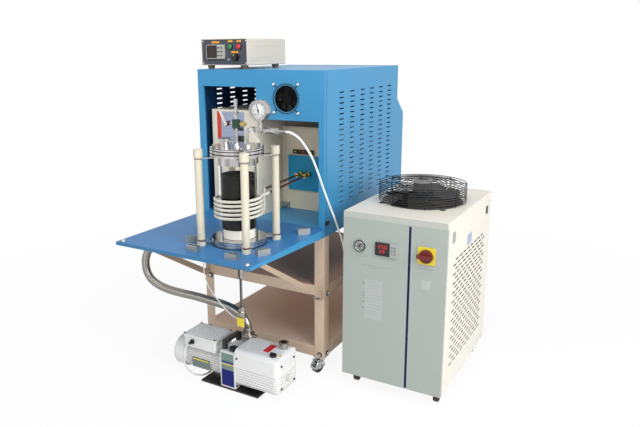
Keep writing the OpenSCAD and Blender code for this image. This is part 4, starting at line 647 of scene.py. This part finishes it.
def make_tube():
    wide, tight, low, high = 54.6, 45.4, 5, 14
    spots = [(wide, low), (tight, low), (tight, high), (wide, high)]
    turns = coil_turns(TUBE_COIL, spots, 270, 1)
    path = evenly(smooth_path(TUBE + [tuple(p) for p in turns[::2]], 8), 6)
    lay("gas_line", path, TUBE_R, 12, white_tube, "white_tube", ["gas_tube", "gas_tube_coil"])


def make_cord():
    wide, tight, low, middle, top = 49, 41, 5, 13, (45, 21)
    spots = [(wide, low), (tight, low), (tight, middle), (wide, middle), top]
    turns = coil_turns(CORD_COIL, spots, 270, -1)
    turns += coil_turns(CORD_COIL, [top], 270, -1)[:5]
    end = [Vector((104.4, -134, 17)), Vector((104, -124, 14))]
    path = evenly(smooth_path(CORD + [tuple(p) for p in turns[::2]] + end, 8), 6)
    lay("pump_lead", path, CORD_R, 12, cord_grey, "cord_grey", ["pump_cord", "pump_cord_coil"])


make_hose()
make_cable()
make_tube()
make_cord()


# Details that have no CAD node of their own

print_black = Paint("print_black", (0.02, 0.02, 0.022), 0.6, spread=0.2, grain=80)
print_grey = Paint("print_grey", (0.3, 0.3, 0.31), 0.6, spread=0.1, grain=80)
rating_grey = Paint("rating_grey", (0.15, 0.195, 0.195), 0.4, grain=30)
notice_grey = Paint("notice_grey", (0.4, 0.425, 0.415), 0.5)
print_white = Paint("print_white", (0.86, 0.86, 0.85), 0.5, spread=0.03, grain=40)
screw_steel = Paint("screw_steel", (0.7, 0.7, 0.7), 0.22, 1.0, spread=0.08, grain=90)
chrome = Paint("chrome", (0.44, 0.45, 0.44), 0.13, 1.0, spread=0.3, grain=40, bump=0.03)
red_strip = Paint("red_strip", (0.6, 0.05, 0.022), 0.45, spread=0.04, grain=14)
lilac_plate = Paint("lilac_plate", (0.33, 0.38, 0.52), 0.4, grain=20)
yellow_plate = Paint("yellow_plate", (0.78, 0.6, 0.03), 0.42, spread=0.04, grain=40)
band_green = Paint("band_green", (0.16, 0.24, 0.21), 0.4, grain=30)
band_navy = Paint("band_navy", (0.006, 0.011, 0.15), 0.38, spread=0.08, grain=30, shine=0.2)
stripe_navy = Paint("stripe_navy", (0.004, 0.006, 0.06), 0.4, spread=0.08, grain=30, shine=0.2)
band_blue = Paint("band_blue", (0.015, 0.05, 0.24), 0.38, spread=0.08, grain=30)
red_plate = Paint("red_plate", (0.6, 0.012, 0.018), 0.4, grain=30)
washer_brown = Paint("washer_brown", (0.24, 0.075, 0.035), 0.55, spread=0.15, grain=120)
dial_white = Paint("dial_white", (0.86, 0.86, 0.84), 0.45, spread=0.02, grain=40)
glass_pane = Paint("glass_pane", (0.96, 0.97, 0.97), 0.02, spread=0.005, grain=3, bump=0.01, glass=1.0,
                   ior=1.1, rough_spread=0.005)
digit_red = Paint("digit_red", (0.7, 0.012, 0.016), 0.4, grain=40, glow=0.42)
digit_dim = Paint("digit_dim", (0.075, 0.018, 0.012), 0.4, spread=0.1, grain=40)
label_orange = Paint("label_orange", (0.8, 0.36, 0.015), 0.45)
screen_black = Paint("screen_black", (0.004, 0.004, 0.0045), 0.7, spread=0.2, shine=0.1)
dark_metal = Paint("dark_metal", (0.05, 0.05, 0.055), 0.45, 0.5, spread=0.15)
galvanised = Paint("galvanised", (0.46, 0.47, 0.46), 0.36, 0.9, spread=0.14)


def numeral(text, centre, size, paint, name):
    """A printed number on a front plane, as a thin raised form."""
    curve = bpy.data.curves.new(name, "FONT")
    curve.body = text
    curve.align_x, curve.align_y = "CENTER", "CENTER"
    curve.size = size / 1000
    curve.extrude = 0.0001
    piece = put(name, curve)
    curve.materials.append(paint.finish())
    piece.rotation_euler = (math.pi / 2, 0, 0)
    piece.location = at(*centre)
    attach(piece, SYSTEM)


def plate(low, high, paint, name, r=0.25):
    Shape().box(low, high, r).make(name, paint)


def dial_ticks(centre, count, tall, short, outer):
    """Ticks over 270 degrees, each fifth one tall. tall and short hold (inner radius, half width)."""
    x, y, z = centre
    ticks = Shape()
    for k in range(count):
        a = math.radians(225 - 270 * k / (count - 1))
        inner, wide = short if k % 5 else tall
        c, s = math.cos(a), math.sin(a)
        p = [(x + r * c + w * s, y, z + r * s - w * c) for r in (inner, outer) for w in (-wide, wide)]
        ticks.add(p, [[0, 1, 3, 2]], smooth=False)
    return ticks


def domes(name, paint, xs, ys, zs, way, r, h, sides):
    """Dome heads at all places given along x, y and z."""
    shape = Shape()
    for spot in [(x, y, z) for x in xs for y in ys for z in zs]:
        shape.dome(spot, way, r, h, sides)
    shape.make(name, paint)


def louvre_lips():
    cols, rows, slot = 6, 22, 45
    first_y, step_y, first_z, step_z = 148, 115, 1346, 24.5
    lips = Shape()
    for x, out in ((0, -1), (CAB_W, 1)):
        for c in range(cols):
            for r in range(rows):
                lips.louvre(x, out, first_y + c * step_y, slot, first_z - r * step_z)
    lips.make("louvre_lips", cabinet_blue)


def fan_screws():
    domes("fan_screws", screw_steel, [FAN_X - FAN_SCREW, FAN_X + FAN_SCREW], [-3.2],
          [FAN_Z - FAN_SCREW, FAN_Z + FAN_SCREW], FRONT, 7, 4.5, 20)


def fan_screen():
    """Crossed wires behind the fan's ring, the upright ones a little further in."""
    radius, gap, each_way, wire = 59, 4.1, 14, 0.75
    deep, shallow = 1.0, 0.2
    mesh = Shape()
    for k in range(-each_way, each_way + 1):
        off = gap * k
        half = math.sqrt(radius ** 2 - off ** 2)
        mesh.tube([(FAN_X + off, deep, FAN_Z - half), (FAN_X + off, deep, FAN_Z + half)], wire, 6)
        mesh.tube([(FAN_X - half, shallow, FAN_Z + off), (FAN_X + half, shallow, FAN_Z + off)], wire, 6)
    mesh.make("fan_screen", screen_black)


def table_bolts():
    """A washer and a round head at each front corner of the table."""
    inset, y = 24, TABLE_EDGE + 20
    profile = [(12, 0), (12, 1.4), (8.5, 1.6), (8.5, 5.6), (7, 7), (2, 7)]
    table = Shape()
    for x in (inset, CAB_W - inset):
        table.lathe((x, y, TABLE_TOP), UP, profile, 24)
    table.make("table_bolts", chrome)


def side_latch():
    y0, y1, low, high = 10, 46, 742, 762
    lever = [(CAB_W + 3.5, y0 + 6, low + 6), (CAB_W + 6, y0 + 18, low + 10), (CAB_W + 6, y1 - 4, high - 5)]
    latch = Shape().box((CAB_W, y0, low), (CAB_W + 3, y1, high), 1)
    latch.tube(lever, 3, 10).make("side_latch", black_plastic)


def panel_seams():
    joint = Shape()
    for x in (-0.2, CAB_W + 0.2):
        joint.box((x - 0.5, 19, TABLE_TOP - 40), (x + 0.5, 20.5, CAB_TOP - 4), 0.1)
    joint.make("panel_seams", print_black)


def scale_panel():
    """The red strip, lilac scale and switch on the left module."""
    x0, x1, x2, low, high = 73, 97, 236, 1096, 1241
    face = SCALE_Y - 1.2
    plate((x0, face, low), (x1, SCALE_Y, high), red_strip, "red_band")
    plate((x1, face, low), (x2, SCALE_Y, high), lilac_plate, "scale_panel")
    marks = Shape()
    first, second = x1 + 7, x1 + 67
    for k in range(6):
        z = high - 13 - 22 * k
        width = 34 if k % 2 else 46
        marks.mark(first, first + width, z - 2, z, face, 0.4)
        marks.mark(first, first + width * 0.7, z - 8, z - 6.5, face, 0.4)
        marks.mark(second, second + width, z - 3, z - 1.5, face, 0.4)
    marks.mark(x1 + 53, x1 + 54, low + 4, high - 4, face, 0.4)
    marks.make("scale_marks", print_grey)
    dark = Shape().mark(172, 230, 1150, 1168, face, 0.6, 0.2).mark(172, 230, 1196, 1200, face, 0.6, 0.2)
    dark.make("scale_bars", print_black)
    front = SCALE_Y - 26
    switch = Shape().box((196, front, 1097), (232, face, 1127), 2)
    switch.lathe((214, front, 1112), FRONT, [(11, 0), (11, 5), (8, 8)], 24)
    switch.make("panel_switch", black_plastic)


def module_screws():
    dots = Shape()
    for y in (96, 180, 252):
        for z in (800, 905, 1010, 1100, 1190):
            dots.dome((SIDE_X, y, z), RIGHT, 3, 1.2, 12)
    for x, z in ((352, 760), (352, 1120), (632, 760), (632, 1120)):
        dots.dome((x, MODULE_Y, z), FRONT, 4, 1.6, 14)
    dots.make("module_screws", galvanised)


def module_seams():
    z, y = 1148, MODULE_Y - 0.2
    seam = Shape().mark(SIDE_X + 0.2, 643, z, z + 1.2, y, 0.6)
    seam.mark(SIDE_X + 16, SIDE_X + 17, TABLE_TOP + 30, z, y, 0.6)
    seam.make("module_seams", print_grey)


def module_latch():
    x0, y0, z0 = 318, 262, TABLE_TOP + 0.5
    lock = Shape().box((x0, y0, z0), (x0 + 34, MODULE_Y - 0.3, z0 + 30.5), 1.5)
    lock.box((x0 + 6, y0 - 5, z0 + 6.5), (x0 + 28, y0, z0 + 25.5), 1)
    lock.lathe((x0 + 17, y0 - 5, z0 + 16.5), FRONT, [(6, 0), (6, 4), (4.5, 5)], 20)
    lock.make("module_latch", galvanised)


def meter():
    """Two lamps and two digits on the black strip above the blue board."""
    face = BOARD_Y - 1.7
    domes("meter_lamps", yellow_plate, [393, 482], [face], [BOARD_HIGH + 12], FRONT, 5, 3, 16)
    zeros = Shape().digits("00", (430, face + 0.1, BOARD_HIGH + 7), 6, 10, 0.4)
    zeros.make("meter_digits", digit_red)


def union_nuts():
    cup = Shape()
    for x in UNION_X:
        cup.hexagon((x, UNION_Y + 56, UNION_Z), FRONT, 13, 14)
        cup.ring((x, UNION_Y + 40, UNION_Z), FRONT, 9.5, 1.6, 28, 8)
    cup.make("union_nuts", copper)


def rod_washers():
    offset, low, high = 115, 755.2, 1100.0
    washers = Shape()
    for y in (AXIS_Y - offset, AXIS_Y + offset):
        for x in (AXIS_X - offset, AXIS_X + offset):
            washers.lathe((x, y, low), UP, [(17.6, 0), (17.6, 2.2), (16.6, 2.6)], 32)
            washers.lathe((x, y, high), UP, [(16.6, 0), (17.6, 0.5), (17.6, 2.6)], 32)
    washers.make("rod_washers", washer_brown)


def lid_bolts():
    count, circle, lid_top = 12, 105, 1148
    bolts = Shape()
    for k in range(count):
        a = math.radians(15 + 360 / count * k)
        spot = (AXIS_X + circle * math.cos(a), AXIS_Y + circle * math.sin(a), lid_top)
        bolts.socket(spot, UP, 3.6, 3.4)
    bolts.make("lid_bolts", screw_steel)


def flange_beads():
    """Turned beads round the lower flange and dark lines round the lid."""
    for name, paint, r, thick, heights in (("flange_beads", turned_steel, 117.3, 0.7, (742, 753)),
                                           ("lid_lines", seal_black, 112.2, 1.0, (1124, 1145.5))):
        rings = Shape()
        for z in heights:
            rings.ring((AXIS_X, AXIS_Y, z), UP, r, thick, 72, 6)
        rings.make(name, paint)


def gauge_details():
    """Ticks, numbers, dial and glass of the pressure gauge."""
    gx, gy, gz = 593, -363.8, 1298
    print_y = gy - 0.55
    dial_ticks((gx, print_y, gz), 41, (25.5, 0.55), (28, 0.3), 32).make("gauge_ticks", print_black)
    plate((gx - 6, gy - 0.6, gz - 17), (gx + 6, gy - 0.3, gz - 15), print_black, "gauge_unit")
    numbers, reach = ("0", "2", "4", "6", "8", "10"), 20.5
    for k, text in enumerate(numbers):
        a = math.radians(225 - 270 * k / (len(numbers) - 1))
        spot = (gx + reach * math.cos(a), print_y, gz + reach * math.sin(a))
        numeral(text, spot, 8.5, print_black, "gauge_number_%d" % k)
    dial, pane = [(35.6, 0), (35.6, 0.4)], [(36.5, 0), (36.5, 0.5), (30, 1.0), (12, 1.3)]
    Shape().lathe((gx, gy, gz), FRONT, dial, 48).make("gauge_dial", dial_white)
    Shape().lathe((gx, gy - 4.1, gz), FRONT, pane, 48).make("gauge_glass", glass_pane)


def control_display():
    digit_y, left = BOX_Y - 2.9, 44
    reds = Shape().digits("053", (left, digit_y, 1531), 10, 16, 0.5)
    reds.digits("180", (left, digit_y, 1508), 10, 14, 0.5).make("control_digits", digit_dim)


def control_labels():
    """Bare orange labels and a printed rule on the control box's panel."""
    labels = Shape()
    for x, z, w in ((87, 1571, 46), (174, 1575, 28), (224, 1575, 26), (199, 1524, 40)):
        labels.mark(x - w / 2, x + w / 2, z - 4.5, z + 4.5, BOX_Y, 0.8, 0.3)
    labels.make("control_labels", label_orange)
    Shape().mark(40, 140, 1485, 1487.5, BOX_Y, 1.0, 0.3).make("control_rule", print_black)


def case_lines():
    """Two pressed lines along each side of the control box."""
    half, out = 0.9, 0.7
    edge = Shape()
    for x in (-out, BOX_W):
        for z in (1501, 1553):
            edge.box((x, 66, z - half), (x + out, 280, z + half), 0.3)
    edge.make("case_lines", case_beige)


def knob_and_screws():
    Shape().mark(204, 206, 1506, 1513, 18.6, 0.4).make("knob_pointer", print_white, "power_knob_body")
    domes("panel_screws", screw_steel, [12, 262], [BOX_Y], [1473, 1577], FRONT, 3.6, 1.8, 14)


def pump_bands():
    """Coloured bands on the pump block's front, without words."""
    x0, x1, lift = 350.5, 419.5, 6
    bands = ((14.5, 96, band_navy, "navy"), (96, 121, band_green, "green"),
             (121, 127, yellow_plate, "yellow"), (127, 139, band_blue, "blue"),
             (139, 178, band_green, "top"))
    for low, high, paint, name in bands:
        plate((x0, PUMP_Y - 0.9, low + lift), (x1, PUMP_Y, high + lift), paint,
              "block_band_" + name, r=0.15)


def pump_plates():
    """Bare plates on the motor and the oil case."""
    plate((166, -336, 60), (266, -331.5, 107), rating_grey, "motor_plate")
    plate((171, -337, 98), (261, -335.9, 104), yellow_plate, "motor_stripe")
    case_top = 213
    plate((544, -297, case_top), (576, -223, case_top + 1), red_plate, "oil_plate")
    Shape().dome((640, -300, case_top), UP, 6, 1.2, 20).make("oil_mark", yellow_plate)


def pump_screws():
    bolts, cover = Shape(), Shape()
    for y, z in ((-320, 66), (-320, 176), (-212, 66), (-212, 176)):
        bolts.socket((657.3, y, z), RIGHT, 5.5, 4)
    for z in (36, 172):
        bolts.socket((437, PUMP_Y - 0.5, z), FRONT, 5, 3)
    bolts.make("case_bolts", dark_metal)
    for x, y in ((126, -334), (126, -206), (304, -334), (304, -206)):
        cover.socket((x, y, 222), UP, 4.6, 3)
    cover.make("terminal_screws", dark_metal)


def pump_trim():
    """The dark gap at the motor's cowl, the bead of the hose clamp and the valve's bare tag."""
    profile = [(71.2, 0), (71.8, 0.4), (71.8, 8.0), (71.2, 8.4)]
    gap = Shape().lathe((MOTOR_X + 0.6, MOTOR_Y, MOTOR_Z), RIGHT, profile, 64)
    gap.make("cowl_gap", seal_black)
    Shape().ring((399, -200, 222), UP, 31, 3.2, 48, 10).make("clamp_bead", turned_steel)
    tag = Shape().box((462, -373, 347), (500, -369.5, 388), 1.5)
    tag.box((474, -370, 362), (488, -360, 372), 1).make("valve_tag", yellow_plate)


def frame_bolts():
    """Washers and hexagon bolts on the trolley's struts and rails."""
    spots = [((x, -2.6, 394), FRONT) for x in (34, CAB_W - 34)]
    spots += [((x, 0, 97), FRONT) for x in (22, CAB_W - 22)]
    for x, way in ((0, LEFT), (CAB_W, RIGHT)):
        spots += [((x, y, z), way) for y in (35, 830) for z in (97, 406)]
    bolts, washers = Shape(), Shape()
    for spot, way in spots:
        washers.lathe(spot, way, [(13, 0), (13, 1.6), (12, 1.9)], 24)
        bolts.hexagon(Vector(spot) + 1.9 * Vector(way), way, 9.5, 6)
    washers.make("frame_washers", dark_metal)
    bolts.make("frame_bolts", chrome)


def strut_tabs():
    tab = 42
    tabs = Shape()
    for x in (12, CAB_W - 12 - tab):
        tabs.box((x, -2.6, 376), (x + tab, -0.2, 411), 0.8)
    tabs.make("strut_tabs", trolley_beige)


def caster_hoods():
    """Polished covers over the trolley's front wheels. Each turns with its fork."""
    inset, y, r, trail = 30, 30, 31, 24
    for x, angle, side in ((inset, 285, "left"), (CAB_W - inset, 255, "right")):
        way = Vector((math.cos(math.radians(angle)), math.sin(math.radians(angle)), 0))
        cover = Shape().hood(Vector((x, y, r)) + trail * way, way, r + 2.8, 20)
        cover.make("caster_hood_" + side, chrome, "cart_fork_%s_body" % side)


def chiller_display():
    """The chiller's navy stripe, red digits and bare caption lines."""
    plate((1125.6, CHILL_Y + 0.6, DOOR_LOW), (1135.4, CHILL_Y + 1.6, DOOR_HIGH), stripe_navy,
          "door_stripe")
    window = CHILL_Y - 5.2
    reds = Shape().digits("250", (991, window, 700), 10, 15, 0.5)
    reds.digits("28", (997, window, 680), 9, 13, 0.5).make("chiller_digits", digit_red)
    captions = Shape()
    for x, z, w in ((903, 652, 66), (1029, 655, 78), (1205, 640, 66), (975, 612, 130), (975, 602, 30)):
        captions.mark(x - w / 2, x + w / 2, z - 1.6, z + 1.6, CHILL_Y, 0.3)
    captions.make("caption_lines", print_grey)


def notice():
    """A notice plate with lines in place of words, and a bare plate under the switch."""
    low, high = 365, 548
    plate((930, CHILL_Y - 0.6, low), (1012, CHILL_Y, high), notice_grey, "notice_plate")
    plate((1187, CHILL_Y - 0.5, 548), (1227, CHILL_Y, 590), notice_grey, "code_plate")
    rules = Shape()
    for k in range(11):
        z = high - 12 - 15 * k
        rules.mark(940, 940 + (62 if k % 3 else 50), z, z + 2, CHILL_Y - 0.6, 0.2)
    rules.make("notice_lines", print_grey)
    heights = [528, 482, 470, 440, 412]
    domes("notice_dots", band_navy, [922], [CHILL_Y], heights, FRONT, 2.2, 0.5, 10)


def chiller_side():
    """Bare plates on the chiller's right side and the screws of both sides."""
    plates = ((20, 62, 742, 790, 1.2, galvanised, "front"), (560, 600, 745, 785, 1.2, dark_metal, "rear"),
              (250, 320, 672, 722, 1, lilac_plate, "mid"))
    for y0, y1, low, high, thick, paint, name in plates:
        plate((CHILL_X1, y0, low), (CHILL_X1 + thick, y1, high), paint, "side_plate_" + name)
    screws = Shape()
    for y in (8, 640):
        for z in (120, 470, 800):
            screws.dome((CHILL_X1, y, z), RIGHT, 3.4, 1.6, 12)
            screws.dome((CHILL_X0, y, z), LEFT, 3.4, 1.6, 12)
    screws.make("chiller_screws", screw_steel)


def chiller_gauge():
    """Bezel, ring and ticks of the chiller's dial."""
    face = CHILL_Y - 8.2
    for name, paint, lift, r, thick, wire in (("bezel", black_plastic, 1, 24, 2.2, 10),
                                              ("ring", screw_steel, 0.6, 20.6, 1.2, 8)):
        ring = Shape().ring((DIAL_X, face + lift, DIAL_Z), FRONT, r, thick, 48, wire)
        ring.make("chiller_gauge_" + name, paint)
    ticks = dial_ticks((DIAL_X, face + 3.8, DIAL_Z), 31, (13, 0.35), (15.5, 0.35), 18)
    ticks.make("chiller_gauge_ticks", print_white)


for build in (louvre_lips, fan_screws, fan_screen, table_bolts, side_latch, panel_seams, scale_panel,
              module_screws, module_seams, module_latch, meter, union_nuts, rod_washers, lid_bolts,
              flange_beads, gauge_details, control_display, control_labels, case_lines, knob_and_screws,
              pump_bands, pump_plates, pump_screws, pump_trim, frame_bolts, strut_tabs, caster_hoods,
              chiller_display, notice, chiller_side, chiller_gauge):
    build()


# Floor, world and lamps

FLOOR_SHADE, FLOOR_NEAR, FLOOR_FAR, FLOOR_HALF = 0.91, 0.9, 3.2, 30.0
WORLD_LIGHT = 0.42


def seen_rays(nodes):
    """1 for rays from the camera, from a mirror and through glass, else 0."""
    path = nodes.node("LightPath").outputs
    direct = nodes.math("MAXIMUM", path["Is Camera Ray"], path["Is Glossy Ray"])
    return nodes.math("MAXIMUM", direct, path["Is Transmission Ray"])


def make_floor():
    """A white floor that keeps the shadow. Near the object it glows a little less than farther out."""
    s = FLOOR_HALF
    mesh = bpy.data.meshes.new("floor")
    mesh.from_pydata([(-s, -s, 0), (s, -s, 0), (s, s, 0), (-s, s, 0)], [], [[0, 1, 2, 3]])
    floor = put("floor", mesh)
    mat = bpy.data.materials.new("floor_white")
    mesh.materials.append(mat)
    nodes = Nodes(mat)
    bsdf = nodes.tree.nodes["Principled BSDF"]
    for name, value in (("Base Color", (0.9, 0.9, 0.9)), ("Roughness", 0.9), ("Specular IOR Level", 0.0)):
        nodes.feed(bsdf.inputs[name], value)
    glow = nodes.node("Emission")
    nodes.feed(glow.inputs["Color"], (1, 1, 1))
    nodes.feed(glow.inputs["Strength"], 1.0)
    reach = nodes.node("VectorMath")
    reach.operation = "LENGTH"
    nodes.feed(reach.inputs[0], nodes.node("TexCoord").outputs["Object"])
    level = nodes.span(reach.outputs["Value"], FLOOR_SHADE, 1.0, FLOOR_NEAR, FLOOR_FAR)
    mix = nodes.node("MixShader")
    share = nodes.math("MULTIPLY", seen_rays(nodes), level)
    for k, value in enumerate((share, bsdf.outputs[0], glow.outputs[0])):
        nodes.feed(mix.inputs[k], value)
    nodes.feed(nodes.tree.nodes["Material Output"].inputs[0], mix.outputs[0])


def make_world():
    """A backdrop that is white where it is seen and lights the object less strongly."""
    world = bpy.data.worlds.new("studio")
    bpy.context.scene.world = world
    nodes = Nodes(world)
    back = nodes.tree.nodes["Background"].inputs
    nodes.feed(back["Color"], (1, 1, 1))
    nodes.feed(back["Strength"], nodes.span(seen_rays(nodes), WORLD_LIGHT, 1.0))


def make_lamp(name, place, aim, power, size=2.4):
    data = bpy.data.lights.new(name, "AREA")
    data.shape = "SQUARE"
    data.size = size
    data.energy = power
    lamp = put(name, data)
    lamp.location = place
    lamp.rotation_euler = (Vector(aim) - Vector(place)).to_track_quat("-Z", "Y").to_euler()


make_floor()
make_world()
make_lamp("key", (0.9, -2.2, 4.4), (0, 0, 0.8), 88)
make_lamp("fill", (4.0, -1.6, 2.4), (0.2, 0, 0.7), 140)
make_lamp("front", (-0.6, -4.6, 2.0), (0, 0, 0.7), 34)

bpy.context.scene.view_settings.view_transform = "Standard"
